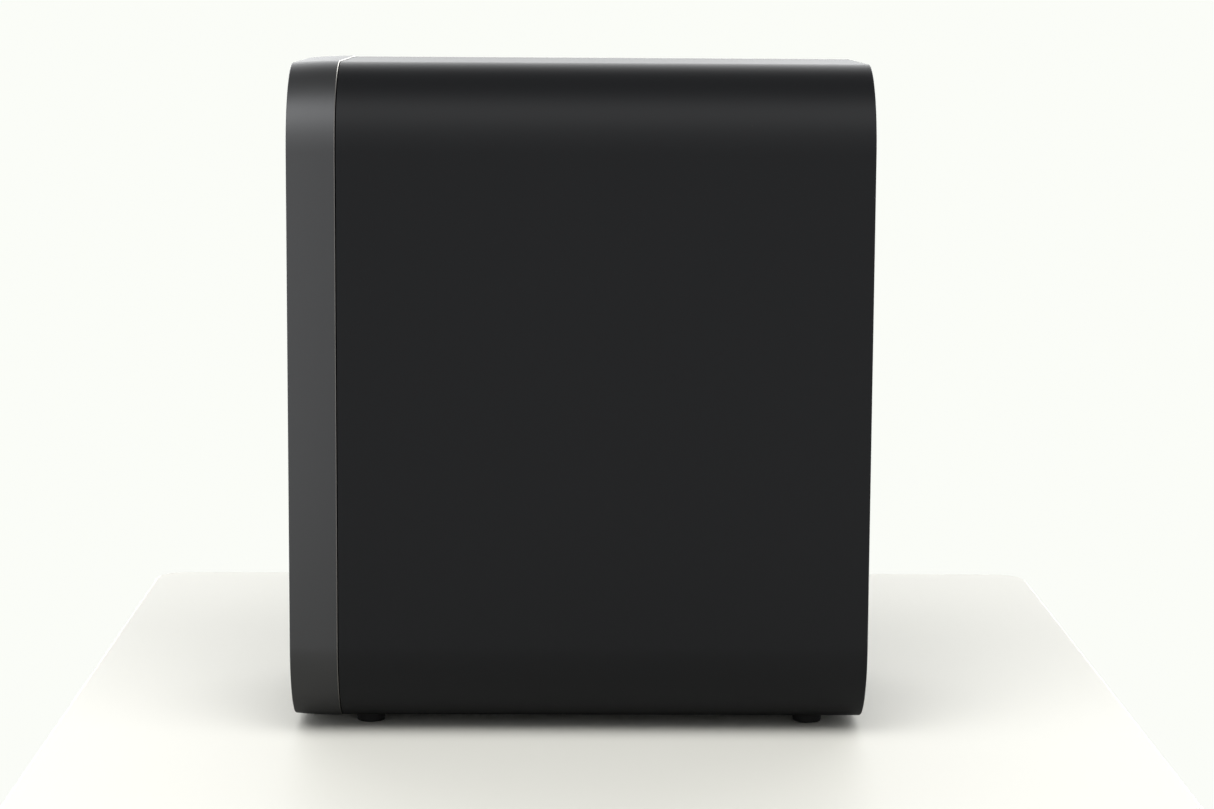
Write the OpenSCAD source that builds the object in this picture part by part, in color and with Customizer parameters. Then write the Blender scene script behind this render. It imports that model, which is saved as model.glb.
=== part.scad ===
// Wireless subwoofer of a soundbar set: a ported box with one front-firing woofer and a built-in amplifier.
// Millimetres. +Z is up, the front faces -Y, and the origin is on the floor under the middle of the box.
// Depths are Y positions. A slab is an outline in the X-Z plane that fills the space between two depths.

/* [Cabinet] */
// Width of the cabinet, left to right
body_w = 205; // [200:1:280]
// Height of the cabinet without its feet
body_h = 348.8; // [290:0.2:440]
// Depth from the front of the bezel to the rear edge
body_d = 302; // [250:1:380]
// Corner radius of the cabinet, seen from the front
corner_r = 46; // [30:1:60]
// Wall of the moulded shell
shell_t = 5; // [4:0.5:7]
// How far the shell's surface sits inside the bezel's outline
shell_step = 0.4; // [0.1:0.1:1]
// Width of the inner ribs that carry the baffle and the rear panel
rib_w = 10; // [8:0.5:14]
// Thickness of those ribs
rib_t = 5; // [3:0.5:8]
// Gap at the edge of a panel that fits inside the shell
panel_fit = 0.2; // [0.1:0.05:0.5]

/* [Front] */
// Depth of the front bezel, from its face to the seam
bezel_d = 24.4; // [20:0.2:32]
// Wall of the bezel
bezel_t = 6; // [5.6:0.1:8]
// Shadow gap between the bezel and the shell
seam_gap = 0.5; // [0.3:0.1:1]
// Width of the bezel's rear flange, inside the shell
flange_w = 10; // [9:0.5:12]
// Thickness of that flange
flange_t = 3; // [2:0.5:5]
// Length of the spigot that the bezel pushes into the shell
spigot_l = 2.4; // [1.5:0.1:4]
// How far the grille sits behind the bezel's front face
grille_recess = 1.5; // [0.5:0.1:3]
// Thickness of the grille frame
grille_t = 4; // [3:0.5:6]
// Thickness of the grille cloth
cloth_t = 0.8; // [0.5:0.1:1.2]
// Diameter of the grille's pegs
peg_d = 5; // [4:0.5:6]
// Thickness of the front baffle
baffle_t = 9; // [6:1:15]

/* [Woofer] */
// Outer diameter of the basket's flange
woofer_d = 165; // [120:1:168]
// Thickness of that flange
basket_flange_t = 3; // [2:0.5:4]
// Radius of the surround's half roll
roll_r = 6; // [5:0.5:7]
// Thickness of the surround
surround_t = 0.8; // [0.6:0.1:1]
// Bore of the voice coil former
coil_id = 32; // [25:1:38]
// Outer diameter of the ring magnet
magnet_d = 92; // [80:1:100]
// Thickness of the ring magnet
magnet_t = 17; // [12:1:25]
// Travel of the cone each way from rest
cone_travel = 5; // [3:0.5:6]
// Height of the woofer's centre above the middle of the cabinet
woofer_up = 0; // [-10:1:10]

/* [Port] */
// Bore of the bass-reflex port
port_d = 54; // [45:1:66]
// Length of the port tube from the rear panel
port_l = 140; // [110:1:150]
// Wall of the port tube
port_t = 2; // [1.5:0.5:3]
// Radius of the port's flared mouth
flare_r = 12; // [8:1:14]

/* [Rear] */
// How far the rear panel sits inside the shell's rear edge
rear_recess = 5; // [5:0.5:10]
// Thickness of the rear panel
panel_t = 8; // [6:1:12]
// Margin from the shell's inside to the port flare and the amplifier plate
rear_margin = 14; // [12:1:18]

/* [Amplifier] */
// Width of the amplifier plate
amp_w = 140; // [130:1:150]
// Height of the amplifier plate
amp_h = 150; // [145:1:160]
// Thickness of the amplifier plate
amp_t = 2; // [1.5:0.5:2]
// Travel of the pairing button
button_travel = 1; // [0.6:0.1:1.2]
// Diameter of the pairing button
button_d = 8; // [7:0.5:10]
// Height of the standoffs between the plate and the circuit board
standoff_l = 14; // [12:1:18]

/* [Feet] */
// Diameter of a foot
foot_d = 15.5; // [12:0.5:20]
// Height of a foot below the cabinet
foot_h = 4.2; // [3:0.1:8]
// Distance between the left and right feet
foot_span = 108.4; // [90:0.2:120]
// Front edge of the bezel to the middle of a front foot
foot_front = 39.4; // [34:0.2:60]
// Rear edge of the cabinet to the middle of a rear foot
foot_rear = 27.5; // [20:0.5:60]

/* [Hidden] */
$fn = 64;
fit = 0.1;
screw_r = 1.5;
pilot_r = screw_r + 0.05;
screw_hole_r = screw_r + 0.2;
head_r = 2.9;
head_h = 1.8;

// Depths of the cabinet, from the front to the rear
mid_z = foot_h + body_h / 2;
y_front = -body_d / 2;
y_rear = body_d / 2;
y_seam = y_front + bezel_d;
y_shell = y_seam + seam_gap;
y_baffle = y_seam + spigot_l;
y_baffle_back = y_baffle + baffle_t;
y_panel_back = y_rear - rear_recess;
y_panel = y_panel_back - panel_t;
y_brace = 30;
brace_t = 8;

// Inside of the shell, as insets from the bezel's outline
wall_inset = shell_step + shell_t;
inner_w = body_w - 2 * wall_inset;
inner_h = body_h - 2 * wall_inset;
inner_bottom = foot_h + wall_inset;
inner_top = foot_h + body_h - wall_inset;
panel_inset = wall_inset + panel_fit;
rib_inset = wall_inset + rib_w;

panel_screw_x = inner_w / 2 - rib_w / 2;
panel_screw_z = inner_h / 2 - rib_w / 2;
panel_screw_side = 40;
panel_screw_up = 90;
panel_screw_places = concat(
    [for (sx = [-1, 1], sz = [-1, 1]) [sx * panel_screw_side, sz * panel_screw_z]],
    [for (sx = [-1, 1], sz = [-1, 1]) [sx * panel_screw_x, sz * panel_screw_up]]
);
foot_places = [
    for (sy = [-1, 1], sx = [-1, 1])
        [sx * foot_span / 2, sy < 0 ? y_front + foot_front : y_rear - foot_rear]
];
// The feet sit in shallow seats in the shell's underside
foot_seat = 0.8;
foot_top = foot_h + shell_step + foot_seat;
foot_chamfer = 0.8;
felt_t = 4;
felt_h = 180;
felt_gap = 10;

// Front: grille and bezel
y_cloth = y_front + grille_recess;
y_grille = y_cloth + cloth_t;
y_grille_back = y_grille + grille_t;
y_flange = y_seam - flange_t;
grille_inset = bezel_t + 0.4;
flange_mid = (bezel_t + panel_inset + flange_w) / 2;
flange_mid_x = body_w / 2 - flange_mid;
flange_mid_z = body_h / 2 - flange_mid;
peg_grip = 4;
peg_l = y_flange - y_grille_back + peg_grip;
grommet_r = peg_d / 2 + 1.5;
grommet_collar_r = grommet_r + 0.4;
// Places on the flange as [across, up], measured from the middle of the cabinet
bezel_screw_side = 45;
bezel_screw_up = 100;
peg_up = 60;
bezel_screw_places = concat(
    [for (sx = [-1, 1], sz = [-1, 1]) [sx * bezel_screw_side, sz * flange_mid_z]],
    [for (sx = [-1, 1], sz = [-1, 1]) [sx * flange_mid_x, sz * bezel_screw_up]]
);
peg_places = concat(
    [for (sz = [-1, 1]) [0, sz * flange_mid_z]],
    [for (sx = [-1, 1], sz = [-1, 1]) [sx * flange_mid_x, sz * peg_up]]
);

// Woofer, in its own depth: 0 on the front of the baffle, plus towards the listener
woofer_z = mid_z + woofer_up;
gasket_t = 1;
woofer_r = woofer_d / 2;
flange_top = gasket_t + basket_flange_t;
flange_ring = 10.5;
basket_r = woofer_r - flange_ring;
baffle_hole_r = basket_r + 0.5;
seat_r = woofer_r - 11;
lip_r = woofer_r - 7.9;
roll_mid_r = seat_r - roll_r;
cone_r = roll_mid_r - roll_r;
woofer_screw_pcr = woofer_r - 4.2;
woofer_screw_places = [for (a = [30:60:330]) woofer_screw_pcr * [sin(a), cos(a)]];
coil_r = coil_id / 2;
former_t = 0.3;
former_r = coil_r + former_t;
winding_r = former_r + 0.9;
pole_r = coil_r - 0.6;
gap_r = winding_r + 0.5;
plate_r = magnet_d / 2 - 3;
magnet_bore_r = gap_r + 5;
basket_floor = -40;
basket_floor_t = 2.5;
plate_t = 6;
magnet_top = basket_floor - plate_t;
yoke_top = magnet_top - magnet_t;
yoke_back = yoke_top - plate_t;
spider_z = -31;
spider_r = 47.5;
spider_ledge_r = 44;
spider_t = 0.6;
neck_z = -24;
neck_r = former_r + fit;
rim_r = cone_r - 3;
cone_steps = 12;
cone_radii = [for (i = [0:cone_steps]) neck_r + (rim_r - neck_r) * i / cone_steps];
cone_t = 1.1;
rim_z = flange_top - 0.05;
terminal_z = (basket_floor + spider_z) / 2;
cap_r = 24;
cap_rise = 9;
cap_sphere_r = (cap_r * cap_r + cap_rise * cap_rise) / (2 * cap_rise);
cap_z = cone_top(cap_r) + 0.1;
coil_h = plate_t + cone_travel + 2;
grille_rim = 18;
grille_bar = 12;
grille_window_r = 15;
grille_window_h = body_h / 2 - grille_inset - cloth_t - grille_rim - grille_bar - seat_r - abs(woofer_up);
// Height of the window's middle above or below the driver's axis
grille_window_up = seat_r + grille_bar + grille_window_h / 2;
grille_window_w = body_w - 2 * (grille_inset + cloth_t + grille_rim);

// Port
port_r = port_d / 2;
port_out_r = port_r + port_t;
flare_mouth_r = port_r + flare_r;
flare_rim = 8;
flare_face_r = flare_mouth_r + flare_rim;
flare_t = 3;
flare_wall = 2;
flare_hole_r = flare_mouth_r - flare_wall + 0.3;
flare_screw_pcr = flare_face_r - flare_rim / 2;
flare_screw_places = [for (a = [45:90:315]) flare_screw_pcr * [sin(a), cos(a)]];
y_flare = y_panel_back + flare_t;
port_z = inner_top - rear_margin - flare_face_r;

brace_side = 22;
brace_foot = 24;
brace_bar = 14;
brace_window_r = 20;
brace_window_w = inner_w - 2 * brace_side;
brace_window_top = port_z - port_out_r - brace_bar;
brace_window_bottom = inner_bottom + brace_foot;
brace_window_h = brace_window_top - brace_window_bottom;

// Amplifier
amp_z = inner_bottom + rear_margin + amp_h / 2;
amp_gasket_t = 0.6;
amp_rim = 8;
y_amp = y_panel_back + amp_gasket_t;
y_amp_back = y_amp + amp_t;
amp_screw_x = amp_w / 2 - amp_rim / 2;
amp_screw_z = amp_h / 2 - amp_rim / 2;
amp_screw_places = concat(
    [for (sx = [-1, 1], sz = [-1, 1]) [sx * amp_screw_x, sz * amp_screw_z]],
    [for (sx = [-1, 1]) [sx * amp_screw_x, 0]],
    [for (sz = [-1, 1]) [0, sz * amp_screw_z]]
);
pcb_t = 1.6;
y_pcb_back = y_amp - standoff_l;
y_pcb = y_pcb_back - pcb_t;
pcb_w = 112;
pcb_h = 84;
pcb_gap = 4;
pcb_hole_edge = 5;
pcb_z = amp_z + amp_h / 2 - amp_rim - pcb_gap - pcb_h / 2;
pcb_hole_places = [
    for (sx = [-1, 1], sz = [-1, 1])
        [sx * (pcb_w / 2 - pcb_hole_edge), sz * (pcb_h / 2 - pcb_hole_edge)]
];
standoff_r = 3;
transformer_w = 38;
transformer_h = 30;
transformer_x = 22;
transformer_z = pcb_z + 14;
leg_w = 10;
window_w = 8;
window_x = leg_w / 2 + window_w / 2;
cap_body_r = 6;
cap_body_l = 25;
cap_pitch = 14;
cap_x = -38;
cap_body_z = pcb_z - 26;
choke_x = 26;
choke_pitch = 20;
choke_z = pcb_z - 27;
choke_ring_r = 5.4;
choke_wire_r = 4.2;
chip_w = 16;
chip_h = 12;
chip_t = 3;
chip_x = 14;
chip_z = pcb_z + 4;
spreader_w = 60;
spreader_h = 26;
fin_pitch = 6;
radio_x = -36;
radio_z = pcb_z + 24;
radio_w = 22;
radio_h = 16;
radio_t = 3.2;
antenna_w = 18;
antenna_l = 14.8;
header_w = 16;
header_h = 9;
header_l = 9;
label_w = 76;
label_h = 34;
label_t = 0.2;
label_z = pcb_z - 6;
pcb_screw_l = 6;

// Row of controls along the bottom of the amplifier plate
control_z = amp_z - amp_h / 2 + amp_rim + 16;
inlet_x = -34;
inlet_w = 20;
inlet_h = 12;
inlet_l = 13;
inlet_face_t = 1.4;
socket_r = 4.2;
socket_offset = 3.9;
socket_l = 12;
y_socket = y_amp_back + inlet_face_t - socket_l;
pin_r = 1.2;
pin_spacing = 8.6;
pin_l = 9;
button_x = 40;
button_r = button_d / 2;
button_proud = button_travel + 0.4;
button_flange_t = 1;
plunger_r = 1.75;
switch_h = 3.4;
light_x = 24;
lens_r = 1.6;
y_button_flange = y_amp - 0.05 - button_flange_t;
y_control_back = y_button_flange - 3 - button_travel - switch_h;
control_t = 1.6;
control_w = 22;
control_h = 16;
y_control = y_control_back - control_t;

// Speaker wires: points along the route of the middle between them, as [x, y, z]
wire_r = 1.1;
wire_gap = 9;
wire_start_y = y_baffle + 49;
wire_end_y = y_pcb - header_l;
wire_start_z = woofer_z - 53;
wire_end_z = pcb_z - 30;

cabinet_black = [0.055, 0.055, 0.06];
bezel_charcoal = [0.13, 0.13, 0.135];
cloth_black = [0.04, 0.04, 0.042];
part_black = [0.09, 0.09, 0.09];
rubber_black = [0.03, 0.03, 0.03];
steel_grey = [0.62, 0.63, 0.65];
ferrite_grey = [0.22, 0.22, 0.23];
copper = [0.72, 0.38, 0.2];
brass = [0.8, 0.66, 0.35];
board_green = [0.05, 0.28, 0.14];
felt_grey = [0.72, 0.72, 0.7];
fibre_brown = [0.55, 0.42, 0.28];

// ---- shapes that several pieces share ----

// Place across the cabinet of the inlet's left (-1) or right (1) pin
function pin_x(side) = inlet_x + side * pin_spacing / 2;

// Height of the cone's front surface at a radius: steep at the neck and flatter at the rim
function cone_top(r) = neck_z + (rim_z - neck_z) * pow((r - neck_r) / (rim_r - neck_r), 0.8);

// Rectangle with true round corners
module rounded(w, h, r) {
    square([w - 2 * r, h], center = true);
    square([w, h - 2 * r], center = true);
    for (sx = [-1, 1], sy = [-1, 1])
        translate([sx * (w / 2 - r), sy * (h / 2 - r)])
            circle(r);
}

// Outline of the cabinet, drawn in by an inset
module outline(inset) {
    rounded(body_w - 2 * inset, body_h - 2 * inset, max(corner_r - inset, 3));
}

// Ring between two insets of the cabinet's outline
module outline_ring(outer, inner) {
    difference() {
        outline(outer);
        outline(inner);
    }
}

// Solid between depths y0 and y1 whose outline is drawn in X-Z about [x, z]
module slab(y0, y1, x = 0, z = mid_z) {
    translate([x, y1, z])
        rotate([90, 0, 0])
            linear_extrude(y1 - y0)
                children();
}

// Round bar along Y
module bar(x, z, y0, y1, r) {
    translate([x, y1, z])
        rotate([90, 0, 0])
            cylinder(h = y1 - y0, r = r);
}

// Ring along Y
module ring(x, z, y0, y1, outer_r, inner_r) {
    difference() {
        bar(x, z, y0, y1, outer_r);
        bar(x, z, y0 - 1, y1 + 1, inner_r);
    }
}

// Woofer space: round about the woofer's axis, with Z towards the listener and 0 on the baffle
module on_woofer() {
    translate([0, y_baffle, woofer_z])
        rotate([90, 0, 0])
            children();
}

// Holes for the woofer's screws, right through its flange and the baffle
module woofer_screw_holes(r) {
    for (p = woofer_screw_places)
        bar(p[0], woofer_z + p[1], y_baffle - flange_top - 1, y_baffle_back + 1, r);
}

// Flat ring in woofer space
module woofer_ring(z0, z1, outer_r, inner_r) {
    on_woofer()
        rotate_extrude()
            translate([inner_r, z0])
                square([outer_r - inner_r, z1 - z0]);
}

// Pan-head screw with its head under y_head, pointing to the front or to the rear
module screw(x, z, y_head, length, to_rear = true) {
    translate([x, y_head, z])
        rotate([to_rear ? -90 : 90, 0, 0]) {
            cylinder(h = length, r = screw_r);
            translate([0, 0, -head_h])
                difference() {
                    cylinder(h = head_h, r1 = head_r - 0.7, r2 = head_r);
                    translate([-0.35, -1.7, -1])
                        cube([0.7, 3.4, 1.9]);
                    translate([-1.7, -0.35, -1])
                        cube([3.4, 0.7, 1.9]);
                }
        }
}

// ---- cabinet ----

module cabinet_shell() {
    color(cabinet_black)
        difference() {
            union() {
                slab(y_shell, y_rear)
                    outline_ring(shell_step, wall_inset);
                slab(y_baffle_back, y_baffle_back + rib_t)
                    outline_ring(wall_inset - 1, rib_inset);
                slab(y_panel - rib_t, y_panel)
                    outline_ring(wall_inset - 1, rib_inset);
            }
            for (p = panel_screw_places)
                bar(p[0], mid_z + p[1], y_panel - rib_t - 1, y_panel + 1, pilot_r);
            for (p = foot_places)
                translate([p[0], p[1], foot_h - 1])
                    cylinder(h = foot_top - foot_h + 1, r = foot_d / 2 + fit);
        }
}

module front_baffle() {
    color(part_black)
        difference() {
            slab(y_baffle, y_baffle_back)
                outline(panel_inset);
            bar(0, woofer_z, y_baffle - 1, y_baffle_back + 1, baffle_hole_r);
            for (p = bezel_screw_places)
                bar(p[0], mid_z + p[1], y_baffle - 1, y_baffle_back + 1, pilot_r);
            woofer_screw_holes(pilot_r);
        }
}

module rear_panel() {
    color(cabinet_black)
        difference() {
            slab(y_panel, y_panel_back)
                outline(panel_inset);
            bar(0, port_z, y_panel - 1, y_panel_back + 1, flare_hole_r);
            slab(y_panel - 1, y_panel_back + 1, 0, amp_z)
                rounded(amp_w - 2 * amp_rim, amp_h - 2 * amp_rim, 4);
            for (p = panel_screw_places)
                bar(p[0], mid_z + p[1], y_panel - 1, y_panel_back + 1, screw_hole_r);
            for (p = amp_screw_places)
                bar(p[0], amp_z + p[1], y_panel - 1, y_panel_back + 1, pilot_r);
            for (p = flare_screw_places)
                bar(p[0], port_z + p[1], y_panel - 1, y_panel_back + 1, pilot_r);
        }
}

module rear_panel_screws() {
    color(steel_grey)
        for (p = panel_screw_places)
            screw(p[0], mid_z + p[1], y_panel_back, panel_t + rib_t - 1, false);
}

module cabinet_brace() {
    color(fibre_brown)
        difference() {
            slab(y_brace, y_brace + brace_t)
                outline(panel_inset);
            slab(y_brace - 1, y_brace + brace_t + 1, 0, brace_window_bottom + brace_window_h / 2)
                rounded(brace_window_w, brace_window_h, brace_window_r);
            bar(0, port_z, y_brace - 1, y_brace + brace_t + 1, port_r + port_t + fit);
        }
}

module damping_felt(side) {
    color(felt_grey)
        translate([side * (inner_w / 2 - felt_t / 2 - fit), (y_baffle_back + rib_t + y_brace) / 2, mid_z])
            cube([felt_t, y_brace - y_baffle_back - rib_t - 2 * felt_gap, felt_h], center = true);
}

module damping_felt_left() {
    damping_felt(-1);
}

module damping_felt_right() {
    damping_felt(1);
}

// ---- front ----

module front_bezel() {
    color(bezel_charcoal)
        difference() {
            union() {
                slab(y_front, y_seam)
                    outline_ring(0, bezel_t);
                slab(y_flange, y_seam)
                    outline_ring(bezel_t - 1, panel_inset + flange_w);
                slab(y_seam - 1, y_baffle)
                    outline_ring(panel_inset, panel_inset + flange_w);
            }
            for (p = bezel_screw_places)
                bar(p[0], mid_z + p[1], y_flange - 1, y_baffle + 1, screw_hole_r);
            for (p = peg_places)
                bar(p[0], mid_z + p[1], y_flange - 1, y_baffle + 1, grommet_r + 0.05);
        }
}

module bezel_screws() {
    color(steel_grey)
        for (p = bezel_screw_places)
            screw(p[0], mid_z + p[1], y_flange, flange_t + spigot_l + baffle_t - 1);
}

module grille_frame() {
    color(part_black)
        difference() {
            union() {
                slab(y_grille, y_grille_back)
                    outline(grille_inset + cloth_t);
                for (p = peg_places)
                    bar(p[0], mid_z + p[1], y_grille_back - 1, y_grille_back + peg_l, peg_d / 2);
            }
            bar(0, woofer_z, y_grille - 1, y_grille_back + 1, seat_r);
            for (sz = [-1, 1])
                slab(y_grille - 1, y_grille_back + 1, 0, woofer_z + sz * grille_window_up)
                    rounded(grille_window_w, grille_window_h, grille_window_r);
        }
}

module grille_cloth() {
    color(cloth_black)
        difference() {
            slab(y_cloth, y_grille_back)
                outline(grille_inset);
            slab(y_grille, y_grille_back + 1)
                outline(grille_inset + cloth_t);
        }
}

module grille_grommets() {
    color(rubber_black)
        for (p = peg_places)
            difference() {
                union() {
                    bar(p[0], mid_z + p[1], y_flange, y_baffle - 0.1, grommet_r);
                    bar(p[0], mid_z + p[1], y_flange - 1, y_flange, grommet_collar_r);
                }
                bar(p[0], mid_z + p[1], y_flange - 2, y_flange + peg_grip + 0.2, peg_d / 2 + 0.05);
            }
}

// ---- woofer ----

module woofer_gasket() {
    color(rubber_black)
        difference() {
            woofer_ring(0, gasket_t, woofer_r, baffle_hole_r + 1);
            woofer_screw_holes(screw_hole_r);
        }
}

module woofer_basket() {
    color(part_black)
        difference() {
            on_woofer()
                rotate_extrude()
                    polygon([
                        [gap_r + 6, basket_floor],
                        [spider_r + 2.5, basket_floor],
                        [spider_r + 2.5, spider_z],
                        [basket_r, -6],
                        [basket_r, gasket_t],
                        [woofer_r, gasket_t],
                        [woofer_r, flange_top],
                        [seat_r, flange_top],
                        [basket_r - 2.5, -6.5],
                        [spider_r + 0.5, spider_z + 2],
                        [spider_r + 0.5, spider_z],
                        [spider_ledge_r, spider_z],
                        [spider_ledge_r, basket_floor + basket_floor_t],
                        [gap_r + 6, basket_floor + basket_floor_t]
                    ]);
            on_woofer()
                for (a = [0:60:300])
                    rotate(a)
                        translate([0, 0, spider_z + 3])
                            linear_extrude(-spider_z - 3 - 9)
                                polygon([[0, 0], [100, 34], [100, -34]]);
            woofer_screw_holes(screw_hole_r);
        }
}

module woofer_screws() {
    color(steel_grey)
        for (p = woofer_screw_places)
            screw(p[0], woofer_z + p[1], y_baffle - flange_top, flange_top + baffle_t - 1);
}

module surround() {
    color(rubber_black)
        on_woofer()
            rotate_extrude()
                union() {
                    translate([roll_mid_r, flange_top])
                        difference() {
                            circle(roll_r);
                            circle(roll_r - surround_t);
                            translate([-2 * roll_r, -2 * roll_r])
                                square([4 * roll_r, 2 * roll_r]);
                        }
                    translate([roll_mid_r + roll_r - surround_t, flange_top])
                        square([lip_r - roll_mid_r - roll_r + surround_t, surround_t]);
                    translate([rim_r, flange_top])
                        square([cone_r - rim_r + surround_t, surround_t]);
                }
}

module surround_trim() {
    color(rubber_black)
        woofer_ring(flange_top + surround_t, flange_top + surround_t + 1.7, lip_r, seat_r + 0.5);
}

module cone() {
    color(part_black)
        on_woofer()
            rotate_extrude()
                polygon(concat(
                    [for (r = cone_radii) [r, cone_top(r)]],
                    [[cone_r - 0.2, rim_z], [cone_r - 0.2, rim_z - cone_t]],
                    [for (i = [cone_steps:-1:0])
                        [cone_radii[i], cone_top(cone_radii[i]) - cone_t - (i == 0 ? 1.5 : 0)]]
                ));
}

module dust_cap() {
    color(part_black)
        on_woofer()
            translate([0, 0, cap_z])
                rotate_extrude()
                    intersection() {
                        translate([0, cap_rise - cap_sphere_r])
                            difference() {
                                circle(cap_sphere_r);
                                circle(cap_sphere_r - 0.7);
                            }
                        square([cap_r, cap_rise + 1]);
                    }
}

module voice_coil_former() {
    color(brass)
        woofer_ring(magnet_top - 6, neck_z + 3, former_r, coil_r);
}

module voice_coil_winding() {
    color(copper)
        woofer_ring(magnet_top + plate_t / 2 - coil_h / 2, magnet_top + plate_t / 2 + coil_h / 2,
            winding_r, former_r);
}

// Corrugated disc: its height is a sine of the radius between two flat lips
function spider_wave(r) =
    spider_z + 1.2 * sin(360 * 5 * (r - winding_r - 2) / (spider_ledge_r - winding_r - 2));
spider_steps = 60;

module spider() {
    color(fibre_brown)
        on_woofer()
            rotate_extrude()
                polygon(concat(
                    [[former_r + 0.05, spider_z]],
                    [for (i = [0:spider_steps])
                        let (r = winding_r + 2 + (spider_ledge_r - winding_r - 2) * i / spider_steps)
                        [r, spider_wave(r)]],
                    [[spider_r, spider_z], [spider_r, spider_z + spider_t]],
                    [for (i = [spider_steps:-1:0])
                        let (r = winding_r + 2 + (spider_ledge_r - winding_r - 2) * i / spider_steps)
                        [r, spider_wave(r) + spider_t]],
                    [[former_r + 0.05, spider_z + spider_t]]
                ));
}

module top_plate() {
    color(steel_grey)
        woofer_ring(magnet_top, basket_floor, plate_r, gap_r);
}

module magnet() {
    color(ferrite_grey)
        woofer_ring(yoke_top, magnet_top, magnet_d / 2, magnet_bore_r);
}

module yoke() {
    color(steel_grey)
        on_woofer()
            rotate_extrude()
                polygon([
                    [5, yoke_back],
                    [plate_r, yoke_back],
                    [plate_r, yoke_top],
                    [pole_r, yoke_top],
                    [pole_r, basket_floor],
                    [5, basket_floor]
                ]);
}

module woofer_terminal() {
    color(fibre_brown)
        on_woofer()
            difference() {
                translate([0, -spider_r - 5, terminal_z])
                    cube([24, 6, 8], center = true);
                translate([0, 0, basket_floor - 5])
                    cylinder(h = 30, r = spider_r + 2.5);
            }
}

module terminal_tabs() {
    color(brass)
        on_woofer()
            for (sx = [-1, 1])
                translate([sx * wire_gap / 2 - 2.4, -spider_r - 5.9, terminal_z - 14])
                    cube([4.8, 0.8, 10]);
}

// Wire: eight-sided rings swept along a smooth curve through the route's points
function bend(points, t) =
    let (n = len(points) - 1, i = min(floor(t), n - 1), u = t - i,
         a = points[max(i - 1, 0)], b = points[i], c = points[i + 1], d = points[min(i + 2, n)])
    0.5 * (2 * b + (c - a) * u + (2 * a - 5 * b + 4 * c - d) * u * u + (3 * b - a - 3 * c + d) * u * u * u);

module swept_wire(points, r, steps) {
    n = (len(points) - 1) * steps;
    route = [for (i = [0:n]) bend(points, i / steps)];
    sides = 8;
    rings = [
        for (i = [0:n])
            let (ahead = route[min(i + 1, n)] - route[max(i - 1, 0)],
                 along = ahead / norm(ahead),
                 across = cross(along, [1, 0, 0]) / norm(cross(along, [1, 0, 0])),
                 up = cross(along, across))
            for (k = [0:sides - 1])
                route[i] + r * (cos(360 * k / sides) * across + sin(360 * k / sides) * up)
    ];
    polyhedron(
        points = rings,
        faces = concat(
            [[for (k = [0:sides - 1]) k]],
            [[for (k = [sides - 1:-1:0]) n * sides + k]],
            [for (i = [0:n - 1], k = [0:sides - 1])
                [i * sides + k, (i + 1) * sides + k,
                 (i + 1) * sides + (k + 1) % sides, i * sides + (k + 1) % sides]]
        )
    );
}

function wire_route(side) = [
    [side * wire_gap / 2, wire_start_y, wire_start_z - 2.4],
    [side * wire_gap / 2, wire_start_y + 8, wire_start_z - 2.4],
    [side * 4, wire_start_y + 30, wire_start_z - 12],
    [side * 3, y_brace - 25, inner_bottom + 52],
    [side * 3, y_brace + 4, inner_bottom + 40],
    [side * 3, y_brace + 40, inner_bottom + 44],
    [side * 3, wire_end_y - 16, wire_end_z - 6],
    [side * 3, wire_end_y - 5, wire_end_z],
    [side * 3, wire_end_y - 0.1, wire_end_z]
];

module speaker_wire_red() {
    color("firebrick")
        swept_wire(wire_route(-1), wire_r, 6);
}

module speaker_wire_black() {
    color(rubber_black)
        swept_wire(wire_route(1), wire_r, 6);
}

// ---- port ----

module port_tube() {
    color(part_black)
        ring(0, port_z, y_panel_back - port_l, y_flare - flare_r - fit, port_out_r, port_r);
}

// A bell of quarter-circle section, a flat face round it and a sleeve that holds the tube
module port_flare() {
    color(part_black)
        difference() {
            translate([0, y_flare, port_z])
                rotate([-90, 0, 0])
                    rotate_extrude() {
                        intersection() {
                            translate([flare_mouth_r, -flare_r])
                                difference() {
                                    circle(flare_r);
                                    circle(flare_r - flare_wall);
                                }
                            translate([port_r, -flare_r])
                                square(flare_r);
                        }
                        translate([flare_mouth_r, -flare_t])
                            square([flare_face_r - flare_mouth_r, flare_t]);
                        translate([port_out_r + fit, -flare_r - 5])
                            square([flare_wall, 10.5]);
                    }
            for (p = flare_screw_places)
                bar(p[0], port_z + p[1], y_panel_back - 1, y_flare + 1, screw_hole_r);
        }
}

module port_screws() {
    color(steel_grey)
        for (p = flare_screw_places)
            screw(p[0], port_z + p[1], y_flare, flare_t + panel_t - 1, false);
}

// ---- amplifier ----

module amp_gasket() {
    color(rubber_black)
        slab(y_panel_back, y_amp, 0, amp_z)
            difference() {
                rounded(amp_w - 0.4, amp_h - 0.4, 7.8);
                rounded(amp_w - 2 * amp_rim, amp_h - 2 * amp_rim, 4);
                for (p = amp_screw_places)
                    translate(p)
                        circle(screw_hole_r);
            }
}

module amp_plate() {
    color(part_black)
        difference() {
            slab(y_amp, y_amp_back, 0, amp_z)
                rounded(amp_w, amp_h, 8);
            for (p = amp_screw_places)
                bar(p[0], amp_z + p[1], y_amp - 1, y_amp_back + 1, screw_hole_r);
            for (p = pcb_hole_places)
                bar(p[0], pcb_z + p[1], y_amp - 1, y_amp_back + 1, screw_hole_r);
            slab(y_amp - 1, y_amp_back + 1, inlet_x, control_z)
                square([inlet_w + 2 * fit, inlet_h + 2 * fit], center = true);
            bar(button_x, control_z, y_amp - 1, y_amp_back + 1, button_r + fit);
            bar(light_x, control_z, y_amp - 1, y_amp_back + 1, lens_r + fit / 2);
        }
}

module amp_screws() {
    color(steel_grey)
        for (p = amp_screw_places)
            screw(p[0], amp_z + p[1], y_amp_back, amp_t + amp_gasket_t + panel_t - 1, false);
}

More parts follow.
